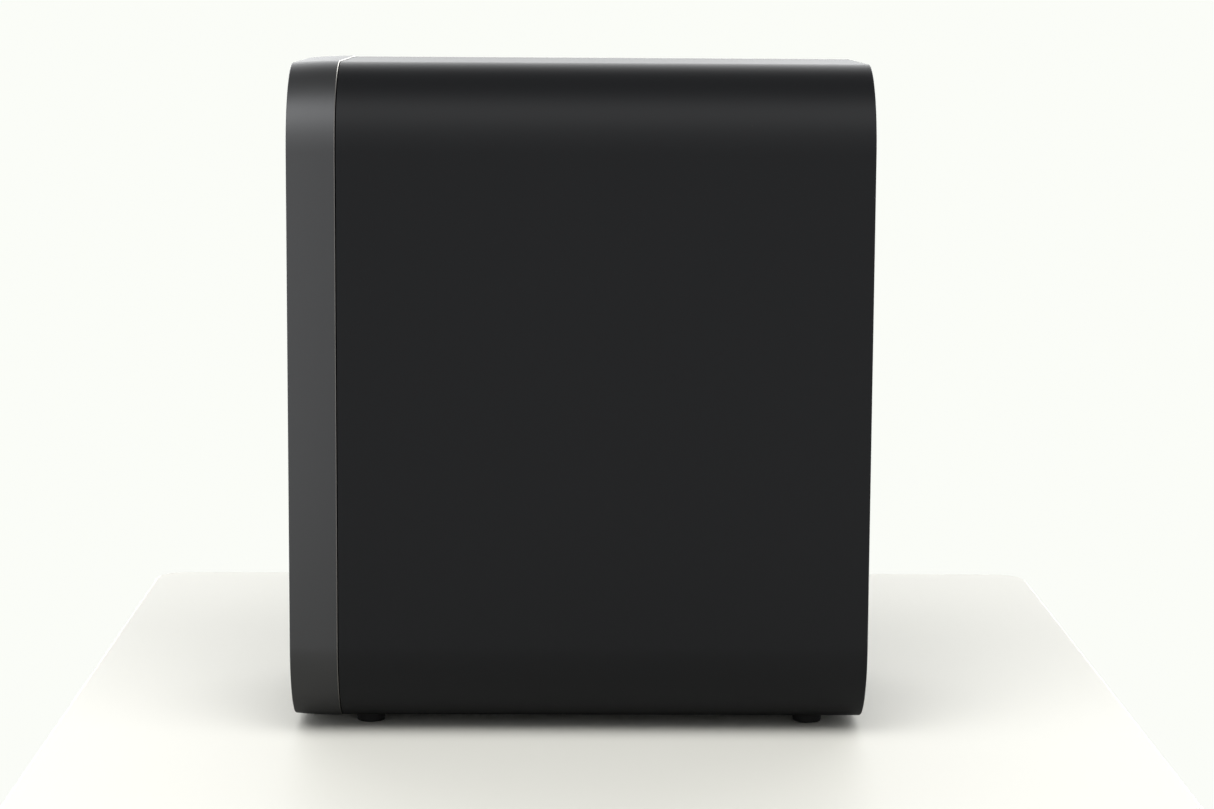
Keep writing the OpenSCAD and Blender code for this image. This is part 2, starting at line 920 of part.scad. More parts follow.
// Mains inlet: a face, a body behind the plate, and a socket shaped as two circles side by side
module ac_inlet() {
    color(part_black)
        difference() {
            union() {
                slab(y_amp_back, y_amp_back + inlet_face_t, inlet_x, control_z)
                    rounded(inlet_w + 6, inlet_h + 5, 2);
                slab(y_amp_back - inlet_l, y_amp_back + 0.1, inlet_x, control_z)
                    square([inlet_w, inlet_h], center = true);
            }
            slab(y_socket, y_amp_back + inlet_face_t + 1, inlet_x, control_z) {
                for (sx = [-1, 1])
                    translate([sx * socket_offset, 0])
                        circle(socket_r);
                square([2 * socket_offset, 1.6 * socket_r], center = true);
            }
            for (sx = [-1, 1])
                bar(pin_x(sx), control_z, y_amp_back - inlet_l - 1, y_socket + 1, pin_r);
        }
}

module inlet_pins() {
    color(brass)
        for (sx = [-1, 1]) {
            bar(pin_x(sx), control_z, y_amp_back - inlet_l - 5, y_socket + pin_l - 1, pin_r);
            translate([pin_x(sx), y_socket + pin_l - 1, control_z])
                sphere(pin_r);
        }
}

module amp_pcb() {
    color(board_green)
        difference() {
            slab(y_pcb, y_pcb_back, 0, pcb_z)
                rounded(pcb_w, pcb_h, 2);
            for (p = pcb_hole_places)
                bar(p[0], pcb_z + p[1], y_pcb - 1, y_pcb_back + 1, screw_hole_r);
        }
}

module pcb_standoffs() {
    color(steel_grey)
        for (p = pcb_hole_places)
            difference() {
                bar(p[0], pcb_z + p[1], y_pcb_back, y_amp, standoff_r);
                bar(p[0], pcb_z + p[1], y_pcb_back - 1, y_amp + 1, pilot_r);
            }
}

module pcb_screws() {
    color(steel_grey)
        for (p = pcb_hole_places) {
            screw(p[0], pcb_z + p[1], y_pcb, pcb_screw_l);
            screw(p[0], pcb_z + p[1], y_amp_back, pcb_screw_l, false);
        }
}

module transformer_core() {
    color(ferrite_grey)
        difference() {
            slab(y_pcb - transformer_h, y_pcb, transformer_x, transformer_z)
                square([transformer_w, transformer_w * 0.8], center = true);
            for (sx = [-1, 1])
                slab(y_pcb - transformer_h + 6, y_pcb - 6, transformer_x + sx * window_x, transformer_z)
                    square([window_w, transformer_w], center = true);
        }
}

// Winding round the core's middle leg, with room all round it
module transformer_winding() {
    color("goldenrod")
        slab(y_pcb - transformer_h + 6.3, y_pcb - 6.3, transformer_x, transformer_z)
            difference() {
                rounded(leg_w + 2 * window_w - 1, transformer_w * 0.8 + window_w, 4);
                square([leg_w + 0.6, transformer_w * 0.8 + 0.6], center = true);
            }
}

module filter_capacitors() {
    color(part_black)
        for (i = [0, 1], j = [0, 1]) {
            bar(cap_x + cap_pitch * i, cap_body_z + cap_pitch * j, y_pcb - cap_body_l, y_pcb, cap_body_r);
            bar(cap_x + cap_pitch * i, cap_body_z + cap_pitch * j,
                y_pcb - cap_body_l - 0.4, y_pcb - cap_body_l, cap_body_r - 1);
        }
}

module output_inductors() {
    color(copper)
        for (i = [0, 1])
            translate([choke_x + choke_pitch * i, y_pcb - choke_wire_r, choke_z])
                rotate([90, 0, 0])
                    rotate_extrude()
                        translate([choke_ring_r, 0])
                            circle(choke_wire_r);
}

module power_chips() {
    color(part_black)
        for (sx = [-1, 1])
            slab(y_pcb_back, y_pcb_back + chip_t, sx * chip_x, chip_z)
                rounded(chip_w, chip_h, 1);
}

// Finned block between the power chips and the plate
module heat_spreader() {
    color(steel_grey)
        difference() {
            slab(y_pcb_back + chip_t, y_amp, 0, chip_z)
                square([spreader_w, spreader_h], center = true);
            for (i = [-4:4])
                slab(y_pcb_back + 2 * chip_t, y_amp - 2.5, i * fin_pitch, chip_z)
                    square([fin_pitch / 2, spreader_h + 4], center = true);
        }
}

module wire_header() {
    color(part_black)
        difference() {
            slab(wire_end_y, y_pcb, 0, wire_end_z)
                rounded(header_w, header_h, 1);
            slab(wire_end_y + 4, y_pcb + 1, 0, wire_end_z)
                square([header_w - 5, header_h / 2], center = true);
        }
}

module radio_module() {
    color(steel_grey)
        slab(y_pcb - radio_t, y_pcb, radio_x, radio_z)
            rounded(radio_w, radio_h, 1);
}

// Printed aerial board that stands up from the radio module
module antenna() {
    color(board_green)
        slab(y_pcb - radio_t - antenna_l, y_pcb - radio_t, radio_x, radio_z + 3)
            square([antenna_w, 1], center = true);
}

// ---- controls ----

module control_pcb() {
    color(board_green)
        slab(y_control, y_control_back, (button_x + light_x) / 2, control_z)
            rounded(button_x - light_x + control_w, control_h, 1.5);
}

module tact_switch() {
    color(part_black)
        difference() {
            slab(y_control_back, y_control_back + switch_h, button_x, control_z)
                rounded(6, 6, 0.6);
            bar(button_x, control_z, y_control_back + 0.5, y_control_back + switch_h + 1, plunger_r + 0.05);
        }
}

// The plunger rests on the button's stem and has its travel left below it
module switch_plunger() {
    color(steel_grey)
        bar(button_x, control_z, y_control_back + 0.6 + button_travel, y_button_flange - 1.5, plunger_r);
}

module pairing_button() {
    color(part_black)
        union() {
            bar(button_x, control_z, y_button_flange, y_amp_back + button_proud, button_r);
            bar(button_x, control_z, y_button_flange, y_button_flange + button_flange_t, button_r + 1.2);
            bar(button_x, control_z, y_button_flange - 1.5, y_button_flange, plunger_r);
        }
}

module status_led() {
    color("seagreen")
        union() {
            bar(light_x, control_z, y_control_back, y_control_back + 1, 2);
            bar(light_x, control_z, y_control_back + 1, y_control_back + 3, 1.5);
        }
}

module led_lens() {
    color("lightgrey")
        union() {
            bar(light_x, control_z, y_control_back + 3.2, y_amp_back + 0.4, lens_r);
            bar(light_x, control_z, y_amp - 1, y_amp, lens_r + 1);
        }
}

module rating_label() {
    color(steel_grey)
        slab(y_amp_back, y_amp_back + label_t, 0, label_z)
            rounded(label_w, label_h, 2);
}

// ---- feet ----

module foot(place) {
    color(rubber_black)
        translate([place[0], place[1], 0])
            difference() {
                union() {
                    cylinder(h = foot_chamfer, r1 = foot_d / 2 - foot_chamfer, r2 = foot_d / 2);
                    translate([0, 0, foot_chamfer])
                        cylinder(h = foot_top - foot_chamfer, r = foot_d / 2);
                }
                translate([0, 0, -1])
                    cylinder(h = 1.4, r = foot_d / 4);
            }
}

module foot_front_left() {
    foot(foot_places[0]);
}

module foot_front_right() {
    foot(foot_places[1]);
}

module foot_rear_left() {
    foot(foot_places[2]);
}

module foot_rear_right() {
    foot(foot_places[3]);
}

cabinet_shell();
front_baffle();
rear_panel();
rear_panel_screws();
cabinet_brace();
damping_felt_left();
damping_felt_right();
front_bezel();
bezel_screws();
grille_frame();
grille_cloth();
grille_grommets();
woofer_gasket();
woofer_basket();
woofer_screws();
surround();
surround_trim();
cone();
dust_cap();
voice_coil_former();
voice_coil_winding();
spider();
top_plate();
magnet();
yoke();
woofer_terminal();
terminal_tabs();
speaker_wire_red();
speaker_wire_black();
port_tube();
port_flare();
port_screws();
amp_gasket();
amp_plate();
amp_screws();
ac_inlet();
inlet_pins();
amp_pcb();
pcb_standoffs();
transformer_core();
transformer_winding();
filter_capacitors();
output_inductors();
power_chips();
heat_spreader();
wire_header();
pcb_screws();
radio_module();
antenna();
control_pcb();
tact_switch();
switch_plunger();
pairing_button();
status_led();
led_lens();
rating_label();
foot_front_left();
foot_front_right();
foot_rear_left();
foot_rear_right();
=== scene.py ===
import math
from functools import partial

import bmesh
import bpy
import numpy as np
from bpy.props import FloatProperty, FloatVectorProperty, PointerProperty
from mathutils import Matrix, Vector


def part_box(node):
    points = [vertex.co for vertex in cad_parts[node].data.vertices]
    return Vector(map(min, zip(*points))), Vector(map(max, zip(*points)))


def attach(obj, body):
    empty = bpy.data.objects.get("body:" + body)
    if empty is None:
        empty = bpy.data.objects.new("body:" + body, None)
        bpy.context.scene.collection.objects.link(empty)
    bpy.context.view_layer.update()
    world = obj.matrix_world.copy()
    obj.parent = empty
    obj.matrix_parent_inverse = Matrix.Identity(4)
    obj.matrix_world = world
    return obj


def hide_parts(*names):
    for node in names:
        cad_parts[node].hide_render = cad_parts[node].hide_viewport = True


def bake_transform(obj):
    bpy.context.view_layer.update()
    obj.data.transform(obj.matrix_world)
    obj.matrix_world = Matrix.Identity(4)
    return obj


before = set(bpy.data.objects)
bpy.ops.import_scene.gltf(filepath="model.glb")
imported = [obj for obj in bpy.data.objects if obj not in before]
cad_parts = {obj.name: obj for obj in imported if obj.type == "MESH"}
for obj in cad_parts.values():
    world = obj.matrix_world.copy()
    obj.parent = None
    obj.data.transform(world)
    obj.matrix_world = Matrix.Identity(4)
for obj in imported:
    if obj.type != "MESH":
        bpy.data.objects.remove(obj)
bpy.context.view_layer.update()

bl_info = {
    "name": "Wireless subwoofer",
    "version": (1, 0, 0),
    "blender": (4, 5, 0),
    "location": "3D View > Sidebar > Subwoofer",
    "description": "A compact wireless subwoofer with a cloth grille, a bass reflex port and an amplifier on its back",
    "category": "Object",
}

MM = 0.001
ROOT, CONE = "root", "cone_assembly"


def box_of(node):
    """Lowest and highest corner of a CAD node, as two numpy rows."""
    low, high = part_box(node)
    return np.array(low), np.array(high)


BEZEL_LOW, BEZEL_HIGH = box_of("front_bezel")
SHELL_LOW, SHELL_HIGH = box_of("cabinet_shell")
PANEL_LOW, PANEL_HIGH = box_of("rear_panel")
CLOTH_LOW, CLOTH_HIGH = box_of("grille_cloth")
FLARE_LOW, FLARE_HIGH = box_of("port_flare")
TUBE_LOW, TUBE_HIGH = box_of("port_tube")
BAFFLE_LOW, BAFFLE_HIGH = box_of("front_baffle")
CONE_LOW, CONE_HIGH = box_of("cone")
MID_Z = (BEZEL_LOW[2] + BEZEL_HIGH[2]) / 2
HALF_W, HALF_H = BEZEL_HIGH[0], (BEZEL_HIGH[2] - BEZEL_LOW[2]) / 2
WOOFER_Z = (CONE_LOW[2] + CONE_HIGH[2]) / 2
PORT_Z = (FLARE_LOW[2] + FLARE_HIGH[2]) / 2
STEP_IN = BEZEL_HIGH[0] - SHELL_HIGH[0]  # how far the cabinet lies inside the bezel's outline
SHARP = 0.01 * MM  # radius of a corner that stays sharp
SHARP_ANGLE = 32  # degrees between two faces from which their shared edge is shaded sharp
EDGE_ANGLE = 40  # degrees from which an edge of a CAD node is rounded
FLAT_ANGLE = 0.5  # degrees below which faces of a CAD node are merged into one
WELD_DISTANCE = 2e-6
ALL_WAYS = (1.0, 1.0, 1.0)


# ---- settings


def length(name, description, default):
    """A length in metres that the sidebar shows."""
    return FloatProperty(
        name=name, description=description, default=default, min=0.0, max=1.0, precision=5, unit="LENGTH"
    )


def colour(name, description, default):
    """A colour that the sidebar shows."""
    return FloatVectorProperty(
        name=name, description=description, default=default, size=3, min=0.0, max=1.0, subtype="COLOR"
    )


def amount(name, description, default, **limits):
    """A plain number that the sidebar shows."""
    return FloatProperty(name=name, description=description, default=default, min=0.0, **limits)


class CabinetSizes(bpy.types.PropertyGroup):
    corner_radius: length("Corner radius", "Radius of the four long corners, on the bezel's outline", 0.046)
    wall: length("Wall", "Thickness of the cabinet's wall", 0.005)
    rib: length("Rib", "Width of the ledges that carry the baffle and the back panel", 0.010)
    rear_edge: length("Rear edge", "Rounding of the cabinet's outer edge at the back", 0.0006)
    front_edge: length("Front edge", "Rounding of the cabinet's edge at the seam", 0.0003)
    bezel_wall: length("Bezel wall", "Thickness of the bezel's rim", 0.006)
    bezel_edge: length("Bezel edge", "Rounding of the bezel's outer front edge", 0.0006)
    bezel_crown: length("Bezel crown", "How far the bezel's side curves in from the seam to its front edge", 0.0011)
    seam_bevel: length("Seam bevel", "Width of the bright cut along the bezel's rear edge", 0.0003)
    cloth_edge: length("Cloth edge", "Rounding of the grille cloth's rim", 0.0016)
    cloth: length("Cloth", "Thickness of the grille cloth", 0.0008)


class WooferSizes(bpy.types.PropertyGroup):
    roll_radius: length("Roll radius", "Radius of the surround's half roll", 0.006)
    roll_thickness: length("Roll thickness", "Thickness of the surround's rubber", 0.0008)
    cone_thickness: length("Cone thickness", "Thickness of the paper cone", 0.0011)
    cap_radius: length("Cap radius", "Radius of the dust cap", 0.024)
    cap_rise: length("Cap rise", "Height of the dust cap's dome", 0.009)
    wave_height: length("Wave height", "Height of the spider's waves", 0.0012)


class PortAndFeetSizes(bpy.types.PropertyGroup):
    port_radius: length("Port radius", "Inner radius of the port's tube", 0.027)
    flare_radius: length("Flare radius", "Rounding of the port's mouth", 0.012)
    foot_edge: length("Foot edge", "Rounding of a foot's lower edge", 0.0009)


class FinishColours(bpy.types.PropertyGroup):
    cabinet: colour("Cabinet", "Matt paint of the cabinet", (0.0085, 0.0089, 0.0101))
    bezel: colour("Bezel", "Metallic paint of the bezel", (0.140, 0.141, 0.144))
    bevel: colour("Bevel", "Bright cut along the seam", (0.80, 0.77, 0.72))
    cloth: colour("Grille cloth", "Yarn of the grille cloth", (0.016, 0.016, 0.017))
    rubber: colour("Rubber", "Feet, surround and gaskets", (0.012, 0.012, 0.012))
    plastic: colour("Black plastic", "Port, inlet and other moulded pieces", (0.018, 0.018, 0.019))
    plate: colour("Amplifier plate", "Powder coat of the plate", (0.022, 0.022, 0.024))
    cone: colour("Cone", "Pressed paper of the cone", (0.022, 0.022, 0.023))
    floor: colour("Floor", "Pale table top", (0.775, 0.765, 0.705))


class StudioSettings(bpy.types.PropertyGroup):
    behind: amount("Behind", "Brightness of the pale room behind the object", 2.6)
    viewer: amount("Viewer's side", "Brightness of the room on the viewer's side", 0.365)
    softbox: amount("Soft box", "Brightness of the wide soft box over the viewer", 1.25)
    overhead: amount("Overhead", "Brightness of the ceiling", 0.16)
    table_reflection: amount(
        "Table in reflections", "Share of the table's brightness that the object reflects", 0.30, max=1.0
    )
    table_light: amount("Table light", "Power of the lamp over the table", 13.5, unit="POWER")
    table: length("Table thickness", "Thickness of the table top", 0.02)


# ---- shape helpers


def rounded_profile(corners, radii, steps=5):
    """A closed outline with its corners rounded. A corner whose sides meet at the angle 2h gets an arc of radius r
    about the point r / sin h in from it along its bisector, and the arc turns evenly from one side to the other."""
    p, r = np.asarray(corners, float), np.asarray(radii, float)[:, None]
    back, ahead = np.roll(p, 1, 0) - p, np.roll(p, -1, 0) - p
    back /= np.linalg.norm(back, axis=1, keepdims=True)
    ahead /= np.linalg.norm(ahead, axis=1, keepdims=True)
    half = np.arccos(np.clip((back * ahead).sum(1, keepdims=True), -1, 1)) / 2
    inward = (back + ahead) / np.linalg.norm(back + ahead, axis=1, keepdims=True)
    centre = p + inward * r / np.sin(half)
    a, b = p + back * r / np.tan(half) - centre, p + ahead * r / np.tan(half) - centre
    turn, t = (math.pi - 2 * half)[:, None], np.linspace(0, 1, steps)[None, :, None]
    arc = centre[:, None] + (np.sin((1 - t) * turn) * a[:, None] + np.sin(t * turn) * b[:, None]) / np.sin(turn)
    return arc.reshape(-1, 2)


def open_profile(corners, radii, steps):
    """A rounded profile without its first and last corner."""
    return rounded_profile(corners, radii, steps)[steps:-steps]


def rounded_path(half_w, half_h, radius, steps):
    """Points round a rounded rectangle: the corners' centres and the outward directions. The direction turns a
    quarter at each corner's centre."""
    turn = np.linspace(0, math.pi / 2, steps + 1)[None, :] + np.arange(4)[:, None] * math.pi / 2
    side = np.array([[1, 1], [-1, 1], [-1, -1], [1, -1]])[:, None] * (half_w - radius, half_h - radius)
    centre = np.repeat(side, steps + 1, 1)
    return centre.reshape(-1, 2), np.stack([np.cos(turn), np.sin(turn)], -1).reshape(-1, 2)


def round_the_path(profile, half_w, half_h, radius, steps):
    """A profile of (inset, height) carried round a rounded rectangle, as (across, up, height) for each point: the
    point is the corner's centre, plus the outward direction times the radius less the inset."""
    centre, out = rounded_path(half_w, half_h, radius, steps)
    ring = centre[:, None, :] + out[:, None, :] * (radius - profile[None, :, 0, None])
    return ring[..., 0], ring[..., 1], np.broadcast_to(profile[None, :, 1], ring.shape[:2])


def grid_faces(rows, columns, round_rows, round_columns):
    """Corners of the faces between neighbouring points of a grid, closed round either way if asked."""
    i = np.arange(rows if round_rows else rows - 1)[:, None]
    j = np.arange(columns if round_columns else columns - 1)[None, :]
    a, b = i * columns + j, i * columns + (j + 1) % columns
    c, d = ((i + 1) % rows) * columns + (j + 1) % columns, ((i + 1) % rows) * columns + j
    return np.stack([a, b, c, d], -1).reshape(-1, 4)


def make_piece(name, points, slot, looks=None, round_rows=True, round_columns=True, bands=None):
    """A closed surface from a grid of points (rows, columns, 3). Repeated points at a pole are merged and the faces
    are turned outwards. Looks names its finishes, which is the slot's own if left out, and bands gives each
    column's finish."""
    rows, columns = points.shape[:2]
    faces = grid_faces(rows, columns, round_rows, round_columns)
    mesh = bpy.data.meshes.new(name)
    mesh.from_pydata(points.reshape(-1, 3).tolist(), [], faces.tolist())
    if bands is not None:
        mesh.polygons.foreach_set("material_index", np.tile(bands, len(faces) // len(bands)).astype(np.int32))
    for look in looks or (slot,):
        mesh.materials.append(finish(look))
    close_up(mesh)
    mesh.polygons.foreach_set("use_smooth", np.ones(len(mesh.polygons), bool))
    mesh.set_sharp_from_angle(angle=math.radians(SHARP_ANGLE))
    obj = bpy.data.objects.new(name, mesh)
    bpy.context.scene.collection.objects.link(obj)
    return obj


def take_place(obj, node, body=ROOT, weigh=True):
    """Lets a piece ride on its body and stand for its CAD node."""
    if weigh:
        weigh_normals(obj)
    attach(obj, body)
    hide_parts(node)


def close_up(mesh):
    """Merges points that lie on each other, drops faces without area and turns all faces outwards."""
    bm = bmesh.new()
    bm.from_mesh(mesh)
    bmesh.ops.remove_doubles(bm, verts=bm.verts, dist=1e-7)
    bmesh.ops.dissolve_degenerate(bm, edges=bm.edges, dist=1e-8)
    bmesh.ops.recalc_face_normals(bm, faces=bm.faces)
    if bm.calc_volume(signed=True) < 0:
        bmesh.ops.reverse_faces(bm, faces=bm.faces)
    bm.to_mesh(mesh)
    bm.free()
    mesh.update()


def weigh_normals(obj):
    """Shades flat faces flat beside their small roundings."""
    m = obj.modifiers.new("Weighted normals", "WEIGHTED_NORMAL")
    m.keep_sharp, m.weight = True, 60


def round_the_cabinet(profile, radius, half_w=HALF_W, half_h=HALF_H, steps=40):
    """A profile of (inset, depth) carried round the cabinet's outline, which stands upright at its middle height."""
    across, up, depth = round_the_path(profile, half_w, half_h, radius, steps)
    return np.stack([across, depth, up + MID_Z], -1)


def turned(profile, centre, axis, steps=96):
    """A profile of (radius, height) turned round an axis through centre: the point is the centre, plus the height
    along the axis, plus the radius in the direction of the turn."""
    axis = np.array(Vector(axis).normalized())
    side = np.array([1.0, 0.0, 0.0]) if abs(axis[0]) < 0.9 else np.array([0.0, 1.0, 0.0])
    other = np.cross(axis, side)
    a = np.linspace(0, 2 * math.pi, steps, endpoint=False)[:, None, None]
    out = np.cos(a) * side + np.sin(a) * other
    return np.asarray(centre) + out * profile[None, :, 0, None] + axis * profile[None, :, 1, None]


def ease_edges(node, width):
    """Joins a CAD node's triangles, merges its flat faces and rounds its edges, as live modifiers."""
    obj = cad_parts[node]
    weld = obj.modifiers.new("Join", "WELD")
    weld.merge_threshold = WELD_DISTANCE
    flat = obj.modifiers.new("Flat faces", "DECIMATE")
    flat.decimate_type, flat.angle_limit = "DISSOLVE", math.radians(FLAT_ANGLE)
    bevel = obj.modifiers.new("Eased edges", "BEVEL")
    bevel.width, bevel.segments = width, 2
    bevel.limit_method, bevel.angle_limit = "ANGLE", math.radians(EDGE_ANGLE)
    bevel.use_clamp_overlap, bevel.harden_normals, bevel.miter_outer = True, False, "MITER_ARC"
    weigh_normals(obj)


# ---- pattern groups


def feed(tree, socket, value):
    """Gives a shader socket a link or a plain value."""
    if isinstance(value, bpy.types.NodeSocket):
        tree.links.new(value, socket)
    else:
        socket.default_value = value


def add_node(tree, kind, links=(), **values):
    """The outputs of a new shader node with these settings, whose inputs take links or plain values."""
    n = tree.nodes.new("ShaderNode" + kind)
    for key, value in values.items():
        setattr(n, key, value)
    for socket, value in dict(links).items():
        feed(tree, n.inputs[socket], value)
    return n.outputs


def add_math(tree, operation, a, b=0.0, clamp=False):
    """What a math node makes of two links or plain values."""
    return add_node(tree, "Math", {0: a, 1: b}, operation=operation, use_clamp=clamp)[0]


class Pattern:
    """A shader node group under construction. It reads a vector and the given numbers or factors."""

    def __init__(self, name, inputs, outputs):
        self.tree = bpy.data.node_groups.new(name, "ShaderNodeTree")
        sockets = self.tree.interface
        sockets.new_socket("Vector", in_out="INPUT", socket_type="NodeSocketVector")
        for label, value in inputs.items():
            kind = "NodeSocketVector" if isinstance(value, tuple) else "NodeSocketFloat"
            sockets.new_socket(label, in_out="INPUT", socket_type=kind).default_value = value
        for label in outputs:
            sockets.new_socket(label, in_out="OUTPUT", socket_type="NodeSocketFloat")
        self.given = self.tree.nodes.new("NodeGroupInput").outputs
        self.exit = self.tree.nodes.new("NodeGroupOutput")
        self.node, self.math = partial(add_node, self.tree), partial(add_math, self.tree)

    def between(self, value, low, high):
        """0 at low, 1 at high, with a smooth step between."""
        links = {"Value": value, "From Min": low, "From Max": high}
        return self.node("MapRange", links, interpolation_type="SMOOTHSTEP")[0]

    def noise(self, vector, scale, detail=3.0, rough=0.55, **more):
        links = {"Vector": vector, "Scale": scale, "Detail": detail, "Roughness": rough, **more}
        return self.node("TexNoise", links)[0]

    def output(self, **sockets):
        for label, value in sockets.items():
            self.tree.links.new(value, self.exit.inputs[label])
        return self.tree


def grain_pattern():
    """Fine grain of a moulded or painted surface, with a slow cloudiness over it."""
    g = Pattern("moulded_grain", {"Scale": 2400.0, "Cloud Scale": 14.0}, ("Height", "Cloud"))
    v, scale, cloud = g.given[:3]
    cells = g.node("TexVoronoi", {"Vector": v, "Scale": scale}, feature="SMOOTH_F1")["Distance"]
    fine = g.noise(v, g.math("MULTIPLY", scale, 1.7), 2.0)
    return g.output(Height=g.math("ADD", g.math("MULTIPLY", cells, 0.6), fine), Cloud=g.noise(v, cloud, 4.0))


def edge_pattern():
    """Where a surface's edges are, from the turn of the normal within a small radius, broken up by noise."""
    # the edge mask serves worn edges and, on the cabinet and the bezel, a painted edge highlight
    g = Pattern("edge_wear_and_highlight", {"Radius": 0.0008, "Breakup": 180.0}, ("Mask",))
    rounded = g.node("Bevel", {"Radius": g.given[1]}, samples=6)[0]
    normal = g.node("NewGeometry")["Normal"]
    turn = g.node("VectorMath", {0: rounded, 1: normal}, operation="DOT_PRODUCT")["Value"]
    edge = g.between(g.math("SUBTRACT", 1.0, turn), 0.015, 0.16)
    patchy = g.between(g.noise(g.given[0], g.given[2], 4.0, 0.65), 0.36, 0.66)
    return g.output(Mask=g.math("MULTIPLY", edge, patchy, clamp=True))


def dust_pattern():
    """Lint and dust: small bent specks, one in each chosen cell of a Voronoi grid."""
    g = Pattern("dust_specks", {"Scale": 130.0, "Share": 0.12, "Size": 0.07}, ("Mask",))
    v, scale, share, size = g.given[:4]
    bend = g.node("TexNoise", {"Vector": v, "Scale": 260.0})[1]
    bend = g.node("VectorMath", {0: bend, "Scale": 0.0012}, operation="SCALE")[0]
    bent = g.node("VectorMath", {0: v, 1: bend}, operation="ADD")[0]
    cell = g.node("TexVoronoi", {"Vector": bent, "Scale": scale})
    lottery = g.node("SeparateColor", {0: cell["Color"]})[0]
    chosen = g.math("LESS_THAN", lottery, share)
    ends = {"Value": cell["Distance"], "From Min": size, "From Max": g.math("MULTIPLY", size, 0.4)}
    near = g.node("MapRange", ends)[0]
    return g.output(Mask=g.math("MULTIPLY", chosen, near, clamp=True))


def hairline_pattern():
    """Long faint scratches from wiping: noise drawn out along one direction, cut to thin lines and kept to a few
    patches."""
    g = Pattern("hairlines", {"Scale": 60.0}, ("Mask",))
    along = {"Vector": g.given[0], "Rotation": (0.3, 0.9, 0.2), "Scale": (0.05, 1.0, 0.05)}
    long_way = g.node("Mapping", along)[0]
    line = g.noise(long_way, g.math("MULTIPLY", g.given[1], 9.0), 1.0)
    thin = g.between(g.math("ABSOLUTE", g.math("SUBTRACT", line, 0.5)), 0.004, 0.0)
    patch = g.between(g.noise(g.given[0], g.given[1], 2.0), 0.58, 0.72)
    return g.output(Mask=g.math("MULTIPLY", thin, patch, clamp=True))


def knit_pattern():
    """A fine knit: two sets of yarns, each a rounded wave along X and Z that shifts by half a stitch from row to
    row."""
    g = Pattern("knit", {"Pitch": 0.0013}, ("Height", "Gap", "Fuzz"))
    v, pitch = g.given[:2]
    xyz = g.node("SeparateXYZ", {0: v})
    wobble = g.math("MULTIPLY", g.math("SUBTRACT", g.noise(v, 420.0, 2.0), 0.5), 0.9)
    across, along = (
        g.math("ADD", g.math("MULTIPLY", g.math("DIVIDE", xyz[axis], pitch), 2 * math.pi), wobble)
        for axis in (0, 2)
    )
    one = g.math("SINE", g.math("ADD", across, along))
    two = g.math("SINE", g.math("SUBTRACT", across, along))
    stitch = g.math("MAXIMUM", g.math("ABSOLUTE", one), g.math("ABSOLUTE", two))
    fuzz = g.noise(v, 3800.0, 3.0)
    height = g.math("ADD", stitch, g.math("MULTIPLY", fuzz, 0.35))
    # Gap marks the open gaps between the stitches, where the cloth gets painted shade
    return g.output(Height=height, Gap=g.between(stitch, 0.52, 0.26), Fuzz=fuzz)


def brush_pattern():
    """Brushed or turned metal: noise drawn out along the direction that Stretch leaves short."""
    g = Pattern("brushed", {"Stretch": ALL_WAYS, "Scale": 900.0}, ("Height",))
    v = g.node("VectorMath", {0: g.given[0], 1: g.given[1]}, operation="MULTIPLY")[0]
    return g.output(Height=g.noise(v, g.given[2], 4.0, 0.7))


def fibre_pattern():
    """Pressed fibres, as in paper, felt and fibre board: ridged noise at two sizes and darker flecks."""
    g = Pattern("fibres", {"Scale": 500.0}, ("Height", "Fleck"))
    v, scale = g.given[:2]
    ridge = g.math("ABSOLUTE", g.math("SUBTRACT", g.noise(v, scale, 5.0, 0.5, Distortion=1.6), 0.5))
    fine = g.noise(v, g.math("MULTIPLY", scale, 3.1), 3.0)
    height = g.math("ADD", g.math("MULTIPLY", ridge, -3.0), g.math("MULTIPLY", fine, 0.5))
    return g.output(Height=height, Fleck=g.between(ridge, 0.05, 0.0))


PATTERNS = {
    "grain": grain_pattern, "edge": edge_pattern, "dust": dust_pattern, "hairlines": hairline_pattern,
    "knit": knit_pattern, "brush": brush_pattern, "fibres": fibre_pattern,
}


# ---- finishes


class Finish:
    """One finish: a Principled shader whose colour, roughness and relief start plain and take patterns one by one,
    all on the piece's own coordinates."""

    groups = {}

    def __init__(self, name, base, rough, metallic=0.0, **sockets):
        self.material = bpy.data.materials.new(name)
        self.material.use_nodes = True
        self.tree = self.material.node_tree
        self.node, self.math = partial(add_node, self.tree), partial(add_math, self.tree)
        self.sockets = self.tree.nodes["Principled BSDF"].inputs
        self.sockets["Metallic"].default_value = metallic
        for label, value in sockets.items():
            self.sockets[label.replace("_", " ")].default_value = value
        self.place = self.node("TexCoord")["Object"]
        self.colour, self.rough, self.height = (*base, 1.0), rough, None

    def pattern(self, name, **values):
        """The outputs of a pattern group that reads the piece's own coordinates."""
        if name not in self.groups:
            self.groups[name] = PATTERNS[name]()
        links = {label.replace("_", " "): value for label, value in values.items()}
        return self.node("Group", {"Vector": self.place, **links}, node_tree=self.groups[name])

    def tint(self, mask, other, share=1.0):
        """Mixes another colour in where the mask is."""
        links = {"Factor": self.math("MULTIPLY", mask, share, True), 6: self.colour, 7: (*other, 1.0)}
        self.colour = self.node("Mix", links, data_type="RGBA")[2]
        return self

    def roughen(self, mask, to, share=1.0):
        """Moves the roughness towards another where the mask is."""
        links = {"Factor": self.math("MULTIPLY", mask, share, True), 2: self.rough, 3: to}
        self.rough = self.node("Mix", links, data_type="FLOAT")[0]
        return self

    def vary(self, mask, other, share, to, rough_share):
        return self.tint(mask, other, share).roughen(mask, to, rough_share)

    def relief(self, height, depth):
        """The height in metres that the Bump node turns into a normal."""
        self.height = self.math("MULTIPLY", height, depth / MM)
        return self

    def done(self):
        feed(self.tree, self.sockets["Base Color"], self.colour)
        feed(self.tree, self.sockets["Roughness"], self.rough)
        if self.height is not None:
            bump = self.node("Bump", {"Distance": MM, "Height": self.height})
            feed(self.tree, self.sockets["Normal"], bump[0])
        return self.material


